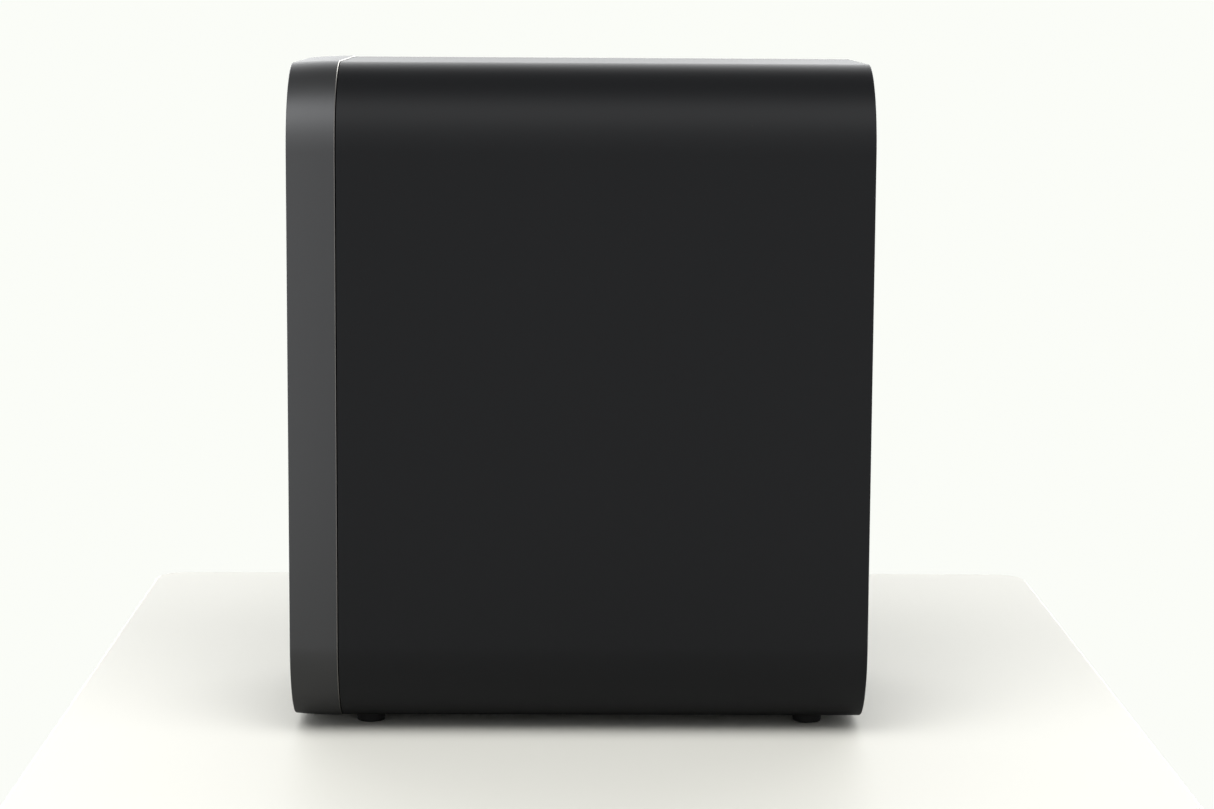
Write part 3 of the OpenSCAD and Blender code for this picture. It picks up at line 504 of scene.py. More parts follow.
def shade(rgb, times):
    """A colour made lighter or darker."""
    return tuple(min(1.0, c * times) for c in rgb)


def moulded(name, base, rough, grain=2400.0, depth=6e-6, wear=0.0, dust=0.0, **sockets):
    """Moulded plastic or satin paint: fine grain, a slow change of sheen, worn edges and a little dust."""
    f = Finish(name, base, rough, **sockets)
    g = f.pattern("grain", Scale=grain)
    f.vary(g["Cloud"], shade(base, 1.45), 0.5, min(1.0, rough + 0.12), 0.8)
    f.relief(g["Height"], depth)
    if wear:
        e = f.pattern("edge", Radius=0.0006)
        f.vary(e[0], shade(base, 3.0), wear, max(0.2, rough - 0.2), wear)
    if dust:
        d = f.pattern("dust", Share=dust)
        f.vary(d[0], (0.30, 0.29, 0.27), 0.55, 0.9, 0.8)
    return f.done()


def metal(name, base, rough, stretch=ALL_WAYS, scale=900.0, depth=3e-6, wear=0.3, metallic=1.0):
    """Bare, plated or painted metal with brush marks and brighter edges."""
    f = Finish(name, base, rough, metallic)
    b = f.pattern("brush", Stretch=stretch, Scale=scale)
    f.vary(b[0], shade(base, 0.62), 0.7, min(1.0, rough + 0.22), 0.8)
    f.relief(b[0], depth)
    e = f.pattern("edge", Radius=0.0004)
    return f.tint(e[0], shade(base, 1.35), wear).done()


def fibrous(name, base, rough, scale, depth, fleck=0.5, **sockets):
    """Paper, felt, card or fibre board."""
    f = Finish(name, base, rough, **sockets)
    p = f.pattern("fibres", Scale=scale)
    g = f.pattern("grain", Scale=scale * 2, Cloud_Scale=40.0)
    f.tint(g["Cloud"], shade(base, 0.7), 0.7).tint(p["Fleck"], shade(base, 1.6), fleck)
    f.roughen(p["Fleck"], max(0.0, rough - 0.15), 0.6)
    return f.relief(p["Height"], depth).done()


def cabinet_paint(c):
    """Matt black paint on the cabinet: an even, very fine grain, hairlines, settled lint and a painted highlight along
    its edges.
    """
    f = Finish("cabinet_matt_paint", c.cabinet, 0.36, Specular_IOR_Level=0.30)
    g = f.pattern("grain", Scale=3200.0, Cloud_Scale=5.0)
    f.vary(g["Cloud"], shade(c.cabinet, 1.3), 0.35, 0.44, 0.6)
    f.relief(g["Height"], 1.8e-6)
    h = f.pattern("hairlines")
    f.vary(h[0], (0.03, 0.03, 0.03), 0.2, 0.3, 0.4)
    # painted highlight: the small edge roundings are painted lighter and made smoother, for the bright rims that light
    # gives them
    e = f.pattern("edge", Radius=0.0011)
    f.vary(e[0], (0.05, 0.05, 0.052), 0.4, 0.3, 0.5)
    d = f.pattern("dust", Scale=210.0, Share=0.035, Size=0.055)
    return f.vary(d[0], (0.16, 0.16, 0.16), 0.35, 0.95, 0.8).done()


def bezel_paint(c):
    """Dark metallic paint on the bezel: fine flake, soft orange peel and a painted highlight along its edges."""
    f = Finish("bezel_metallic_paint", c.bezel, 0.38, 0.94)
    g = f.pattern("grain", Scale=4200.0, Cloud_Scale=9.0)
    f.tint(g["Height"], shade(c.bezel, 0.8), 0.5).roughen(g["Cloud"], 0.46, 0.6)
    f.relief(g["Height"], 1.6e-6)
    # painted highlight: the bezel's small edge roundings are painted lighter
    e = f.pattern("edge", Radius=0.0009)
    f.tint(e[0], shade(c.bezel, 1.5), 0.35)
    d = f.pattern("dust", Scale=210.0, Share=0.03, Size=0.05)
    return f.vary(d[0], (0.30, 0.30, 0.29), 0.3, 0.9, 0.8).done()


def grille_knit(c):
    """Black knitted grille cloth with painted shade, near black, in its open stitches, fuzz and a soft sheen."""
    f = Finish("grille_knit", c.cloth, 0.85, Sheen_Weight=0.25, Sheen_Roughness=0.6, Specular_IOR_Level=0.25)
    k = f.pattern("knit")
    g = f.pattern("grain", Scale=1500.0, Cloud_Scale=22.0)
    # painted shade: the open stitches are painted near black, for the shaded baffle seen through the knit
    f.tint(g["Cloud"], shade(c.cloth, 1.7), 0.6).tint(k["Gap"], (0.001, 0.001, 0.001), 0.9)
    f.vary(k["Fuzz"], shade(c.cloth, 2.4), 0.3, 1.0, 0.6)
    d = f.pattern("dust", Share=0.03, Size=0.05)
    f.tint(d[0], (0.3, 0.3, 0.28), 0.4)
    return f.relief(k["Height"], 1.3e-4).done()


def table_lacquer(c):
    """Pale satin lacquer of the table top."""
    f = Finish("table_lacquer", c.floor, 0.55)
    g = f.pattern("grain", Scale=700.0, Cloud_Scale=3.0)
    f.vary(g["Cloud"], shade(c.floor, 1.03), 0.6, 0.65, 0.6)
    return f.relief(g["Height"], 2e-6).done()


def all_finishes(c):
    """Every finish by the record's slot name, plus the bright seam bevel, the port's plastic and the table top."""
    lens = Finish("lens_clear", (0.93, 0.95, 0.94), 0.08, IOR=1.49, Transmission_Weight=1.0)
    lens.roughen(lens.pattern("grain", Scale=3000.0)["Cloud"], 0.2, 0.8)
    led = Finish("led_green", (0.10, 0.42, 0.16), 0.3, Emission_Strength=0.35, Emission_Color=(0.1, 0.8, 0.25, 1.0))
    led.tint(led.pattern("grain", Scale=2600.0)["Cloud"], (0.05, 0.30, 0.10), 0.6)
    return {
        "cabinet_black": cabinet_paint(c),
        "bezel_charcoal": bezel_paint(c),
        "seam_bevel": metal("seam_bevel_cut", c.bevel, 0.3, (1.0, 0.05, 1.0), 2600.0, 1e-6, 0.0),
        "cloth_black": grille_knit(c),
        "inner_black": moulded("inner_black_board", shade(c.plastic, 1.2), 0.7, 1500.0, 2e-5),
        "back_panel": moulded("back_panel_texture", shade(c.plastic, 1.1), 0.55, 1250.0, 3.2e-5, 0.3, 0.05),
        "board_brown": fibrous("pressed_board", (0.26, 0.17, 0.09), 0.8, 420.0, 6e-5),
        "rubber_black": moulded("black_rubber", c.rubber, 0.72, 1900.0, 1.4e-5, dust=0.05, Specular_IOR_Level=0.35),
        "basket_black": moulded("basket_powder_coat", shade(c.plate, 1.1), 0.45, 1800.0, 2.4e-5, 0.3),
        "plate_black": moulded("plate_powder_coat", c.plate, 0.48, 1500.0, 3.0e-5, 0.35, 0.05),
        "port_black": moulded("port_plastic", c.plastic, 0.4, 2600.0, 5e-6, 0.25, 0.04),
        "inlet_black": moulded("inlet_plastic", shade(c.plastic, 0.8), 0.5, 2300.0, 8e-6, 0.25, 0.04),
        "screw_black": metal("blackened_screw", (0.06, 0.06, 0.062), 0.38, ALL_WAYS, 2400.0, 6e-6, 0.7, 0.9),
        "steel_zinc": metal("zinc_steel", (0.34, 0.34, 0.335), 0.38, (1.0, 0.08, 1.0), 1600.0, 4e-6),
        "ferrite": moulded("ferrite", (0.055, 0.055, 0.058), 0.6, 1100.0, 3e-5, 0.6),
        "copper_wire": metal("enamelled_copper", (0.72, 0.31, 0.13), 0.3, (0.05, 1.0, 0.05), 5200.0, 2.5e-5),
        "brass_pins": metal("plated_pins", (0.83, 0.69, 0.40), 0.22, (1.0, 0.1, 1.0), 2600.0, 2e-6),
        "paper_cone": fibrous("pressed_paper_cone", c.cone, 0.82, 520.0, 5e-5),
        "coil_former": fibrous("coil_former_paper", (0.52, 0.40, 0.22), 0.6, 700.0, 1.5e-5, 0.3),
        "spider_cloth": fibrous("spider_cotton", (0.46, 0.31, 0.14), 0.88, 900.0, 6e-5, 0.4),
        "fibre_board": fibrous("terminal_card", (0.20, 0.11, 0.05), 0.7, 600.0, 3e-5, 0.4),
        "felt_grey": fibrous("damping_felt", (0.36, 0.36, 0.35), 0.95, 260.0, 3.5e-4, Sheen_Weight=0.3),
        "pcb_green": moulded("board_lacquer", (0.016, 0.10, 0.045), 0.32, 900.0, 1.2e-5, 0.5),
        "chip_black": moulded("chip_resin", (0.02, 0.02, 0.021), 0.55, 2600.0, 9e-6, 0.3),
        "winding_tape": fibrous("winding_tape", (0.60, 0.43, 0.10), 0.45, 800.0, 8e-6, 0.2),
        "heat_metal": metal("extruded_aluminium", (0.70, 0.70, 0.71), 0.35, (1.0, 0.04, 1.0), 1400.0, 5e-6),
        "wire_red": moulded("red_wire_jacket", (0.42, 0.018, 0.014), 0.45, 1500.0, 5e-6),
        "wire_black": moulded("black_wire_jacket", (0.016, 0.016, 0.016), 0.45, 1500.0, 5e-6),
        "led_green": led.done(),
        "lens_clear": lens.done(),
        "label_grey": label_print(),
        "table_lacquer": table_lacquer(c),
    }


def label_print():
    """A blank satin label with a printed border: the border is where the distance to the label's edge lies between
    two values."""
    low, high = box_of("rating_label")
    half, mid = (high - low) / 2, (high[2] + low[2]) / 2
    f = Finish("blank_label", (0.17, 0.175, 0.18), 0.42, 0.2)
    b = f.pattern("brush", Stretch=(0.06, 1.0, 1.0), Scale=1500.0)
    f.vary(b[0], (0.13, 0.135, 0.14), 0.7, 0.55, 0.7)
    step, xyz = f.math, f.node("SeparateXYZ", {0: f.place})
    from_side = step("SUBTRACT", half[0], step("ABSOLUTE", xyz[0]))
    from_top = step("SUBTRACT", half[2], step("ABSOLUTE", step("SUBTRACT", xyz[2], mid)))
    inside = step("MINIMUM", from_side, from_top)
    border = step("MULTIPLY", step("GREATER_THAN", inside, 1.6 * MM), step("LESS_THAN", inside, 2.1 * MM))
    return f.tint(border, (0.03, 0.03, 0.03), 0.9).done()


FINISHES = {}


def finish(slot):
    """The finish of that name, made the first time one is asked for."""
    if not FINISHES:
        FINISHES.update(all_finishes(bpy.context.scene.subwoofer_colours))
    return FINISHES[slot]


def repaint(node, slot):
    """Gives a CAD node its finish."""
    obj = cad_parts[node]
    for s in obj.material_slots:
        s.material = finish(slot)
    if not obj.material_slots:
        obj.data.materials.append(finish(slot))


# ---- pieces


class SUB_OT_cabinet(bpy.types.Operator):
    """Make the cabinet's wall with its ledges"""

    bl_idname = "sub.cabinet"
    bl_label = "Cabinet"

    def execute(self, context):
        s = context.scene.subwoofer_cabinet
        inner, ledge = STEP_IN + s.wall, STEP_IN + s.wall + s.rib
        front, rear = SHELL_LOW[1] + 0.6 * MM, SHELL_HIGH[1]
        ledge_front, ledge_rear, thick = BAFFLE_HIGH[1], PANEL_LOW[1], 5 * MM
        corners = [
            (STEP_IN, front), (STEP_IN, rear), (inner, rear),
            (inner, ledge_rear), (ledge, ledge_rear), (ledge, ledge_rear - thick), (inner, ledge_rear - thick),
            (inner, ledge_front + thick), (ledge, ledge_front + thick), (ledge, ledge_front), (inner, ledge_front),
            (inner, front),
        ]
        radii = [s.front_edge, s.rear_edge, 0.8 * MM] + [0.4 * MM] * 8 + [s.front_edge]
        profile = rounded_profile(corners, radii, 6)
        wall = make_piece("cabinet_wall", round_the_cabinet(profile, s.corner_radius), "cabinet_black")
        take_place(wall, "cabinet_shell")
        return {"FINISHED"}


class SUB_OT_bezel(bpy.types.Operator):
    """Make the bezel with its bright seam bevel and its flange"""

    bl_idname = "sub.bezel"
    bl_label = "Bezel"

    def execute(self, context):
        s = context.scene.subwoofer_cabinet
        front, seam = BEZEL_LOW[1], SHELL_LOW[1] + 0.1 * MM
        spigot = STEP_IN + s.wall + 0.2 * MM
        flange, back = spigot + s.rib, BEZEL_HIGH[1]
        cut, step_back = s.seam_bevel, seam - 3 * MM
        corners = [
            (0, front), (0, seam - cut), (cut, seam), (spigot, seam), (spigot, back), (flange, back),
            (flange, step_back), (s.bezel_wall, step_back), (s.bezel_wall, front),
        ]
        radii = [s.bezel_edge] + [0.05 * MM] * 2 + [0.3 * MM] * 2 + [0.4 * MM] * 3 + [1.1 * MM]
        steps = 7
        profile = rounded_profile(corners, radii, steps)
        side = profile[steps - 1] + np.linspace(0, 1, 10)[1:-1, None] * (profile[steps] - profile[steps - 1])
        profile = np.concatenate([profile[:steps], side, profile[steps:]])
        reach = np.clip((seam - profile[:, 1]) / (seam - front), 0, 1)
        profile[:, 0] += s.bezel_crown * reach ** 2 * (1 - np.clip(profile[:, 0] / s.bezel_wall, 0, 1))
        bands = np.zeros(len(profile), int)
        bands[2 * steps + len(side) - 1] = 1
        ring = round_the_cabinet(profile, s.corner_radius)
        bezel = make_piece("bezel_ring", ring, "bezel_charcoal", ("bezel_charcoal", "seam_bevel"), bands=bands)
        take_place(bezel, "front_bezel")
        return {"FINISHED"}


class SUB_OT_grille(bpy.types.Operator):
    """Make the grille's stretched cloth"""

    bl_idname = "sub.grille"
    bl_label = "Grille cloth"

    def execute(self, context):
        s = context.scene.subwoofer_cabinet
        half_w, half_h = CLOTH_HIGH[0], (CLOTH_HIGH[2] - CLOTH_LOW[2]) / 2
        front, back, turn_in, across = CLOTH_LOW[1], CLOTH_HIGH[1], 20 * MM, 22
        under = front + s.cloth
        rim = open_profile(
            [(turn_in, front), (0, front), (0, back), (s.cloth, back), (s.cloth, under), (turn_in, under)],
            [SHARP, s.cloth_edge, 0.3 * MM, 0.3 * MM, 0.8 * MM, SHARP], 7,
        )
        hem = round_the_cabinet(rim, s.corner_radius - HALF_W + half_w, half_w, half_h, 30) - (0, 0, MID_Z)
        share = np.arange(across, 0, -1)[None, :, None] / (across + 1)
        middle = np.zeros((len(hem), 1, 3))
        points = np.concatenate([middle, hem[:, :1] * share[:, ::-1], hem, hem[:, -1:] * share, middle], 1)
        points[..., 1] = np.concatenate([np.full(across + 1, front), rim[:, 1], np.full(across + 1, under)])
        points[..., 2] += MID_Z
        cloth = make_piece("grille_knit_cloth", points, "cloth_black", round_columns=False)
        take_place(cloth, "grille_cloth", weigh=False)
        return {"FINISHED"}


class SUB_OT_feet(bpy.types.Operator):
    """Make the four rubber feet"""

    bl_idname = "sub.feet"
    bl_label = "Feet"

    def execute(self, context):
        s = context.scene.subwoofer_port
        for place in ("front_left", "front_right", "rear_left", "rear_right"):
            low, high = box_of("foot_" + place)
            centre, r = ((low + high) / 2)[:2], (high[0] - low[0]) / 2
            top, hollow = SHELL_LOW[2] + 0.3 * MM, 0.4 * MM
            steps = 6
            profile = rounded_profile(
                [(0.0, hollow), (r / 2, hollow), (r / 2 + 0.3 * MM, 0.0), (r - 0.25 * MM, 0.0), (r, top), (0.0, top)],
                [SHARP / 10, 0.2 * MM, 0.2 * MM, s.foot_edge, 0.2 * MM, SHARP / 10], steps,
            )[steps - 1:1 - steps]
            profile[0, 0] = profile[-1, 0] = 0.0
            disc = turned(profile, (*centre, 0.0), (0, 0, 1), 72)
            foot = make_piece("rubber_foot_" + place, disc, "rubber_black", round_columns=False)
            take_place(foot, "foot_" + place)
        return {"FINISHED"}


class SUB_OT_port(bpy.types.Operator):
    """Make the bass reflex port's flared mouth and its tube"""

    bl_idname = "sub.port"
    bl_label = "Port"

    def execute(self, context):
        s = context.scene.subwoofer_port
        r, flare = s.port_radius, s.flare_radius
        mouth, face, outer = r + flare, FLARE_HIGH[0], TUBE_HIGH[0] + 0.1 * MM
        collar = outer + 2 * MM
        y_face, y_panel, y_tube, y_deep = FLARE_HIGH[1], PANEL_HIGH[1], TUBE_HIGH[1], FLARE_LOW[1]
        y_stop = y_tube + 0.1 * MM
        place, along_y = (0, 0, PORT_Z), (0, 1, 0)
        a = np.linspace(0, math.pi / 2, 15)[:, None]
        throat = np.concatenate([mouth - flare * np.cos(a), y_face - flare + flare * np.sin(a)], 1)
        rim = open_profile(
            [(mouth, y_face), (face, y_face), (face, y_panel), (mouth - 1.9 * MM, y_panel),
             (collar, y_panel - 9 * MM), (collar, y_deep), (outer, y_deep), (outer, y_stop), (r, y_stop)],
            [SHARP / 10, 0.9 * MM, 0.3 * MM, 1.0 * MM, 2.0 * MM, 0.4 * MM, 0.4 * MM, SHARP, SHARP / 10], 6,
        )
        ring = turned(np.concatenate([throat, rim]), place, along_y, 128)
        flared = make_piece("port_flare_ring", ring, "inner_black", ("port_black",))
        take_place(flared, "port_flare")
        wall = rounded_profile(
            [(r, TUBE_LOW[1]), (r, y_tube), (TUBE_HIGH[0], y_tube), (TUBE_HIGH[0], TUBE_LOW[1])],
            [0.7 * MM, SHARP, SHARP, 0.7 * MM],
        )
        tube = make_piece("port_pipe", turned(wall, place, along_y, 128), "inner_black", ("port_black",))
        take_place(tube, "port_tube", weigh=False)
        return {"FINISHED"}


def weigh_radially(obj):
    """Reads the piece's point positions into an array; nothing further is done with them."""
    co = np.zeros(len(obj.data.vertices) * 3)
    obj.data.vertices.foreach_get("co", co)
    co = co.reshape(-1, 3)


def column(r, z):
    """Points of a profile from their radii and heights."""
    return np.stack(np.broadcast_arrays(r, z), -1).reshape(-1, 2)


def soft_ring(name, profile, centre, steps, slot, node):
    """A ring turned from the profile about the forward axis through centre, with its placement baked into its points;
    the CAD node it stands for is hidden.
    """
    ring = make_piece(name, turned(profile, centre, FORWARD, steps), slot)
    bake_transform(ring)
    weigh_radially(ring)
    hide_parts(node)


FORWARD = (0, -1, 0)


class SUB_OT_woofer(bpy.types.Operator):
    """Make the woofer's surround, cone, dust cap and spider"""

    bl_idname = "sub.woofer"
    bl_label = "Woofer"

    def execute(self, context):
        s = context.scene.subwoofer_woofer
        centre, flange_top, gap, glue = (0, BAFFLE_LOW[1], WOOFER_Z), 4 * MM, 0.2 * MM, 0.05 * MM
        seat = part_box("woofer_basket")[1][0] - 11 * MM
        lip, roll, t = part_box("surround")[1][0], s.roll_radius, s.roll_thickness
        mid = seat - roll
        cone_edge = mid - roll
        rim, over, under = cone_edge - 3 * MM, flange_top + t, flange_top + glue
        a = np.linspace(0, math.pi, 33)
        bulge = column(mid + roll * np.cos(a), flange_top + roll * np.sin(a))[4:-4]
        hollow = column(mid + (roll - t) * np.cos(a), flange_top + (roll - t) * np.sin(a))[::-1][1:-1]
        profile = np.concatenate([
            [(lip, over), (seat + gap, over)], bulge,
            [(cone_edge - gap, over), (rim, over), (rim, under), (cone_edge + t, under)], hollow,
            [(seat - t, flange_top), (lip, flange_top)],
        ])
        soft_ring("surround_roll", profile, centre, 144, "rubber_black", "surround")

        neck_r, neck_z, neck_depth, rim_z = 16.4 * MM, -24 * MM, 1.5 * MM, flange_top - glue
        share = np.linspace(0, 1, 40)
        r, z = neck_r + (rim - neck_r) * share, neck_z + (rim_z - neck_z) * share ** 0.8
        pressed = 0.18 * MM * np.exp(-((share * 5 % 1 - 0.5) / 0.12) ** 2) * (share > 0.35) * (share < 0.97)
        thin = s.cone_thickness
        profile = np.concatenate([
            column(r, z - pressed), [(cone_edge - gap, rim_z), (cone_edge - gap, rim_z - thin)],
            column(r, z - thin)[:0:-1], [(neck_r, neck_z - thin - neck_depth)],
        ])
        paper = make_piece("cone_paper", turned(profile, centre, FORWARD, 144), "paper_cone")
        take_place(paper, "cone", CONE, False)

        ball = (s.cap_radius ** 2 + s.cap_rise ** 2) / (2 * s.cap_rise)
        drop = s.cap_rise - ball
        inner_ball = ball - 0.7 * MM
        tilt = np.linspace(0, math.asin(s.cap_radius / ball), 20)
        outer = column(ball * np.sin(tilt), ball * np.cos(tilt) + drop)
        tilt = np.linspace(0, math.asin((s.cap_radius - 0.5 * MM) / inner_ball), 16)
        inner = column(inner_ball * np.sin(tilt), inner_ball * np.cos(tilt) + drop)[::-1]
        inner[0, 1] = outer[-1, 1]
        place = (0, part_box("dust_cap")[1][1], WOOFER_Z)
        ball_cap = turned(np.concatenate([outer, inner]), place, FORWARD, 96)
        dome = make_piece("dust_cap_dome", ball_cap, "paper_cone", round_columns=False)
        take_place(dome, "dust_cap", CONE, False)

        coil, first, last, reach = 16.35 * MM, 19.2 * MM, 44 * MM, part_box("spider")[1][0]
        low, high, waves = -31 * MM, -31 * MM + 0.6 * MM, 5
        r = np.linspace(first, last, 121)
        wave = s.wave_height * np.sin(2 * math.pi * waves * (r - first) / (last - first))
        profile = np.concatenate([
            [(coil, high)], column(r, high + wave), [(reach, high), (reach, low)], column(r, low + wave)[::-1],
            [(coil, low)],
        ])
        soft_ring("spider_disc", profile, centre, 96, "spider_cloth", "spider")
        return {"FINISHED"}


class SUB_OT_felt(bpy.types.Operator):
    """Make the two damping felts inside the cabinet"""

    bl_idname = "sub.felt"
    bl_label = "Damping felt"

    def execute(self, context):
        for side in ("left", "right"):
            low, high = box_of("damping_felt_" + side)
            size, middle = (high - low) / 2, (high + low) / 2
            u, v = np.meshgrid(np.linspace(-1, 1, 61), np.linspace(-1, 1, 81), indexing="ij")
            plump = 1 - 0.12 * (np.abs(u) ** 9 + np.abs(v) ** 9)
            plump -= 0.05 * (1 + np.sin(7 * u + 3 * v) * np.cos(5 * v - 2 * u)) / 2
            y, z = middle[1] + size[1] * u, middle[2] + size[2] * v
            face, back = (np.stack([middle[0] + way * size[0] * plump, y, z], -1) for way in (1, -1))
            points = np.concatenate([face, back[:, ::-1]], 1)
            felt = make_piece("felt_pad_" + side, points, "felt_grey", round_rows=False)
            close_ends(felt)
            take_place(felt, "damping_felt_" + side, weigh=False)
        return {"FINISHED"}


def close_ends(obj):
    """Closes a piece's open ends with faces."""
    bm = bmesh.new()
    bm.from_mesh(obj.data)
    bmesh.ops.holes_fill(bm, edges=[e for e in bm.edges if e.is_boundary], sides=0)
    bmesh.ops.recalc_face_normals(bm, faces=bm.faces)
    bm.to_mesh(obj.data)
    bm.free()


class SUB_OT_hardware(bpy.types.Operator):
    """Finish the hardware that keeps its CAD shape"""

    bl_idname = "sub.hardware"
    bl_label = "Hardware and electronics"

    def execute(self, context):
        table = (
            ("back_panel", 0.4, "rear_panel"), ("plate_black", 0.35, "amp_plate"), ("inlet_black", 0.3, "ac_inlet"),
            ("inlet_black", 0.18, "pairing_button"), ("inner_black", 0.4, "front_baffle"),
            ("board_brown", 0.5, "cabinet_brace"), ("inner_black", 0.6, "grille_frame"),
            ("label_grey", 0.05, "rating_label"), ("brass_pins", 0.1, "inlet_pins terminal_tabs"),
            ("screw_black", 0.12, "rear_panel_screws bezel_screws woofer_screws port_screws amp_screws"),
            ("steel_zinc", 0.12, "pcb_screws"), ("basket_black", 0.3, "woofer_basket"),
            ("rubber_black", 0.3, "surround_trim"), ("rubber_black", 0.2, "grille_grommets"),
            ("steel_zinc", 0.4, "top_plate"), ("steel_zinc", 0.6, "yoke"), ("ferrite", 0.8, "magnet"),
            ("fibre_board", 0.2, "woofer_terminal"), ("pcb_green", 0.15, "amp_pcb control_pcb"),
            ("pcb_green", 0.1, "antenna"), ("brass_pins", 0.15, "pcb_standoffs"),
            ("ferrite", 0.4, "transformer_core"), ("winding_tape", 0.5, "transformer_winding"),
            ("chip_black", 0.4, "filter_capacitors"), ("chip_black", 0.25, "power_chips"),
            ("chip_black", 0.2, "wire_header"), ("chip_black", 0.15, "tact_switch"),
            ("heat_metal", 0.2, "heat_spreader"), ("steel_zinc", 0.2, "radio_module"),
            ("steel_zinc", 0.1, "switch_plunger"), ("rubber_black", 0, "woofer_gasket amp_gasket"),
            ("coil_former", 0, "voice_coil_former"), ("copper_wire", 0, "voice_coil_winding output_inductors"),
            ("led_green", 0, "status_led"), ("lens_clear", 0, "led_lens"), ("wire_red", 0, "speaker_wire_red"),
            ("wire_black", 0, "speaker_wire_black"),
        )
        for slot, width, nodes in table:
            for node in nodes.split():
                repaint(node, slot)
                if width:
                    ease_edges(node, width * MM)
        return {"FINISHED"}


# ---- stage


TABLE_LOW, TABLE_HIGH, TABLE_CORNER = np.array([-0.360, -0.280]), np.array([0.430, 0.303]), 20 * MM


def table_top(thickness):
    """A pale table top: a rounded rectangle carried down over a rounded edge."""
    half, middle = (TABLE_HIGH - TABLE_LOW) / 2, (TABLE_HIGH + TABLE_LOW) / 2
    inside = 0.1
    edge = open_profile(
        [(inside, 0.0), (0.0, 0.0), (0.0, -thickness), (inside, -thickness)], [SHARP, 3 * MM, 3 * MM, SHARP], 6
    )
    rim = np.stack(round_the_path(edge, *half, TABLE_CORNER, 10), -1)
    centre = np.zeros((len(rim), 1, 3))
    points = np.concatenate([centre, rim, centre - (0, 0, thickness)], 1) + (*middle, 0)
    top = make_piece("table_top", points, None, ("table_lacquer",), round_columns=False)
    weigh_normals(top)
    return top


def dim_reflection(material, share):
    """Reflections show only this share of the material's light: the object then stands as on a small table in a large
    pale room."""
    tree = material.node_tree
    node = partial(add_node, tree)
    output = next(n for n in tree.nodes if n.type == "OUTPUT_MATERIAL")
    surface = output.inputs["Surface"].links[0].from_socket
    glossy = node("LightPath")["Is Glossy Ray"]
    factor = add_math(tree, "MULTIPLY", glossy, 1.0 - share)
    dark = node("BsdfDiffuse", {"Color": (0.0, 0.0, 0.0, 1.0)})[0]
    mix = node("MixShader", {0: factor, 1: surface, 2: dark})
    feed(tree, output.inputs["Surface"], mix[0])


def table_lamp(power):
    """A white square area light over the table, which the camera doesn't see."""
    data = bpy.data.lights.new("table_lamp", "AREA")
    data.shape, data.size, data.size_y, data.energy = "RECTANGLE", LAMP_SIZE, LAMP_SIZE, power
    lamp = bpy.data.objects.new("table_lamp", data)
    lamp.location = LAMP_PLACE
    lamp.rotation_euler = (Vector(LAMP_AIM) - Vector(LAMP_PLACE)).to_track_quat("-Z", "Y").to_euler()
    lamp.visible_camera = False
    bpy.context.scene.collection.objects.link(lamp)
    return lamp


def pale_room(studio):
    """The room that lights the object: its brightness is a ramp over the angle from the viewer's side, up over the
    object and down behind it, times a ramp over how far to the side it lies. The camera itself sees plain white all
    round."""
    world = bpy.data.worlds.new("pale_room")
    bpy.context.scene.world = world
    world.use_nodes = True
    tree = world.node_tree
    tree.nodes.clear()
    node = partial(add_node, tree)

    def ramp(value, levels):
        out = node("ValToRGB", {0: value})[0]
        elements = out.node.color_ramp.elements
        elements.remove(elements[1])
        for i, (place, level) in enumerate(sorted(levels.items())):
            stop = elements[0] if i == 0 else elements.new(place)
            stop.position, stop.color = place, (level, level, level, 1.0)
        return out

    xyz = node("SeparateXYZ", {0: node("TexCoord")["Generated"]})
    angle = add_math(tree, "ARCTAN2", xyz[2], xyz[0])
    share = node("MapRange", {"Value": angle, "From Min": -math.pi, "From Max": math.pi})[0]
    behind, viewer, softbox, overhead = studio.behind, studio.viewer, studio.softbox, studio.overhead
    around = {
        -180: behind, -110: 0.6 * behind, -60: viewer, 2: viewer, 30: 1.5 * viewer, 47: softbox, 64: softbox,
        76: 2.0 * overhead, 88: overhead, 130: overhead, 152: 0.5 * behind, 166: behind,
    }
    around = ramp(share, {(degrees + 180) / 360: level for degrees, level in around.items()})
    aside = ramp(add_math(tree, "ABSOLUTE", xyz[1]), {0.0: 0.9, 0.04: 0.9, 0.3: 1.75, 0.5: 1.9, 0.75: 0.9, 1.0: 0.6})
    level = add_math(tree, "MULTIPLY", around, aside)
    lit = node("Background", {"Color": (0.985, 0.995, 1.0, 1.0), "Strength": level})[0]
    seen = node("Background", {"Color": (0.965, 0.98, 0.935, 1.0)})[0]
    mix = node("MixShader", {0: node("LightPath")["Is Camera Ray"], 1: lit, 2: seen})
    node("OutputWorld", {0: mix[0]})


LAMP_PLACE, LAMP_AIM, LAMP_SIZE = (0.75, -0.1, 1.35), (0.15, 0, 0), 1.3
CAMERA_PLACE, LENS, SENSOR = (1.6473, -0.01075, 0.3914), 89.58, 36.0
PITCH, YAW, ROLL = math.radians(7.85), math.radians(0.91), math.radians(0.35)


def side_camera():
    """A camera level with the cabinet's upper part, looking at its side and turned down a little: its axes come from
    its yaw, pitch and roll."""
    ahead = Vector((-math.cos(YAW) * math.cos(PITCH), math.sin(YAW) * math.cos(PITCH), -math.sin(PITCH)))
    right = ahead.cross(Vector((0, 0, 1))).normalized()
    up = right.cross(ahead)
    side, top = math.cos(ROLL) * right + math.sin(ROLL) * up, math.cos(ROLL) * up - math.sin(ROLL) * right
    data = bpy.data.cameras.new("side_camera")
    data.lens, data.sensor_width = LENS, SENSOR
    data.clip_start, data.clip_end = 0.05, 50.0
    camera = bpy.data.objects.new("side_camera", data)
    axes = Matrix((side, top, -ahead)).transposed().to_4x4()
    camera.matrix_world = Matrix.Translation(CAMERA_PLACE) @ axes
    bpy.context.scene.collection.objects.link(camera)
    bpy.context.scene.camera = camera


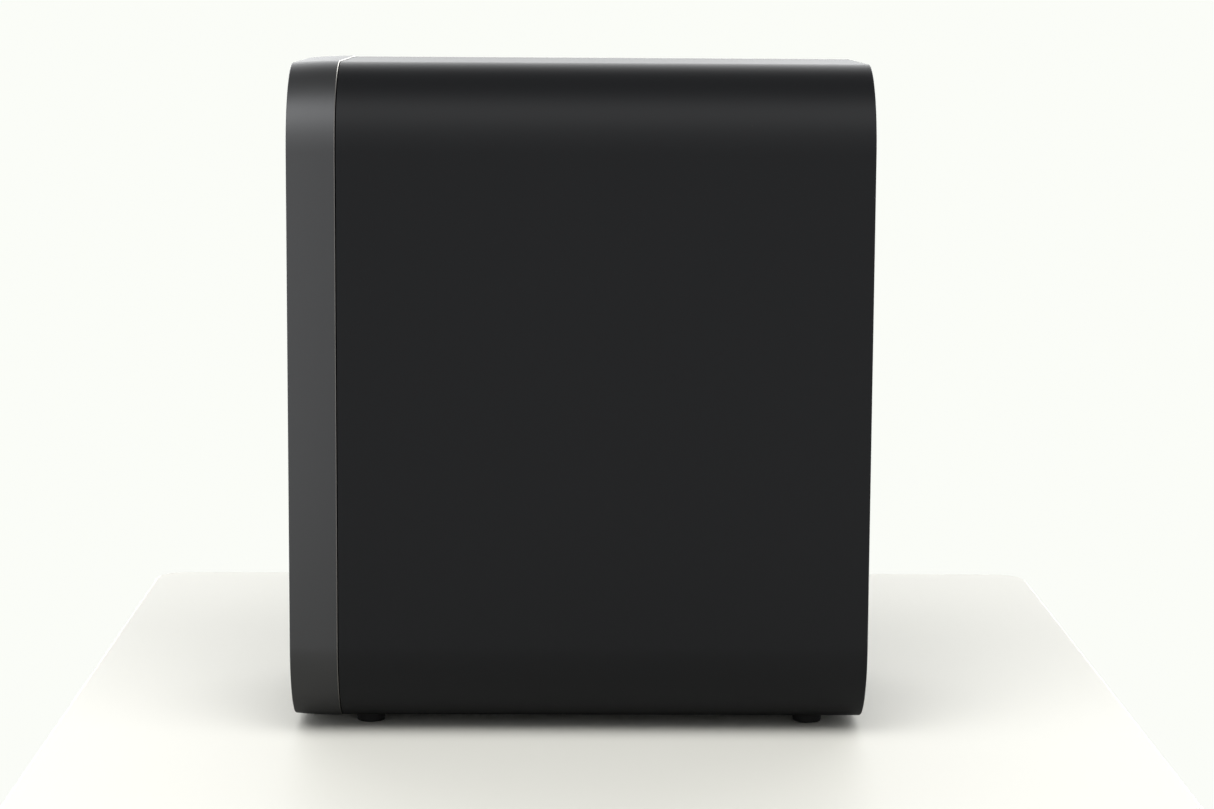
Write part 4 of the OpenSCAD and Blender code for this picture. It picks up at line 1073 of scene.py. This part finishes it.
class SUB_OT_stage(bpy.types.Operator):
    """Make the pale table top, the room, the table's lamp and the camera"""

    bl_idname = "sub.stage"
    bl_label = "Stage"

    def execute(self, context):
        s = context.scene.subwoofer_studio
        top = table_top(s.table)
        dim_reflection(top.data.materials[0], s.table_reflection)
        pale_room(s)
        lit = bpy.data.collections.new("lit_by_table_lamp")
        lit.objects.link(top)
        table_lamp(s.table_light).light_linking.receiver_collection = lit
        side_camera()
        context.scene.view_settings.view_transform = "Standard"
        return {"FINISHED"}


class SUB_PT_panel(bpy.types.Panel):
    """Sizes, colours and steps of the subwoofer"""

    bl_idname = "SUB_PT_panel"
    bl_label = "Wireless subwoofer"
    bl_space_type = "VIEW_3D"
    bl_region_type = "UI"
    bl_category = "Subwoofer"

    def draw(self, context):
        for heading, group in GROUPS.items():
            part = self.layout.box()
            part.label(text=heading)
            settings = getattr(context.scene, group[0])
            for key in group[1].__annotations__:
                part.prop(settings, key)
        for step in STEPS:
            self.layout.operator(step.bl_idname)


GROUPS = {
    "Cabinet": ("subwoofer_cabinet", CabinetSizes),
    "Woofer": ("subwoofer_woofer", WooferSizes),
    "Port and feet": ("subwoofer_port", PortAndFeetSizes),
    "Colours": ("subwoofer_colours", FinishColours),
    "Studio": ("subwoofer_studio", StudioSettings),
}
STEPS = (
    SUB_OT_stage, SUB_OT_cabinet, SUB_OT_bezel, SUB_OT_grille, SUB_OT_feet, SUB_OT_port, SUB_OT_woofer, SUB_OT_felt,
    SUB_OT_hardware,
)


def register():
    for name, group in GROUPS.values():
        bpy.utils.register_class(group)
        setattr(bpy.types.Scene, name, PointerProperty(type=group))
    for cls in (*STEPS, SUB_PT_panel):
        bpy.utils.register_class(cls)


def unregister():
    for cls in reversed((*STEPS, SUB_PT_panel)):
        bpy.utils.unregister_class(cls)
    for name, group in GROUPS.values():
        delattr(bpy.types.Scene, name)
        bpy.utils.unregister_class(group)


def main():
    register()
    for step in STEPS:
        getattr(bpy.ops.sub, step.bl_idname.split(".")[1])()


if __name__ == "__main__":
    main()
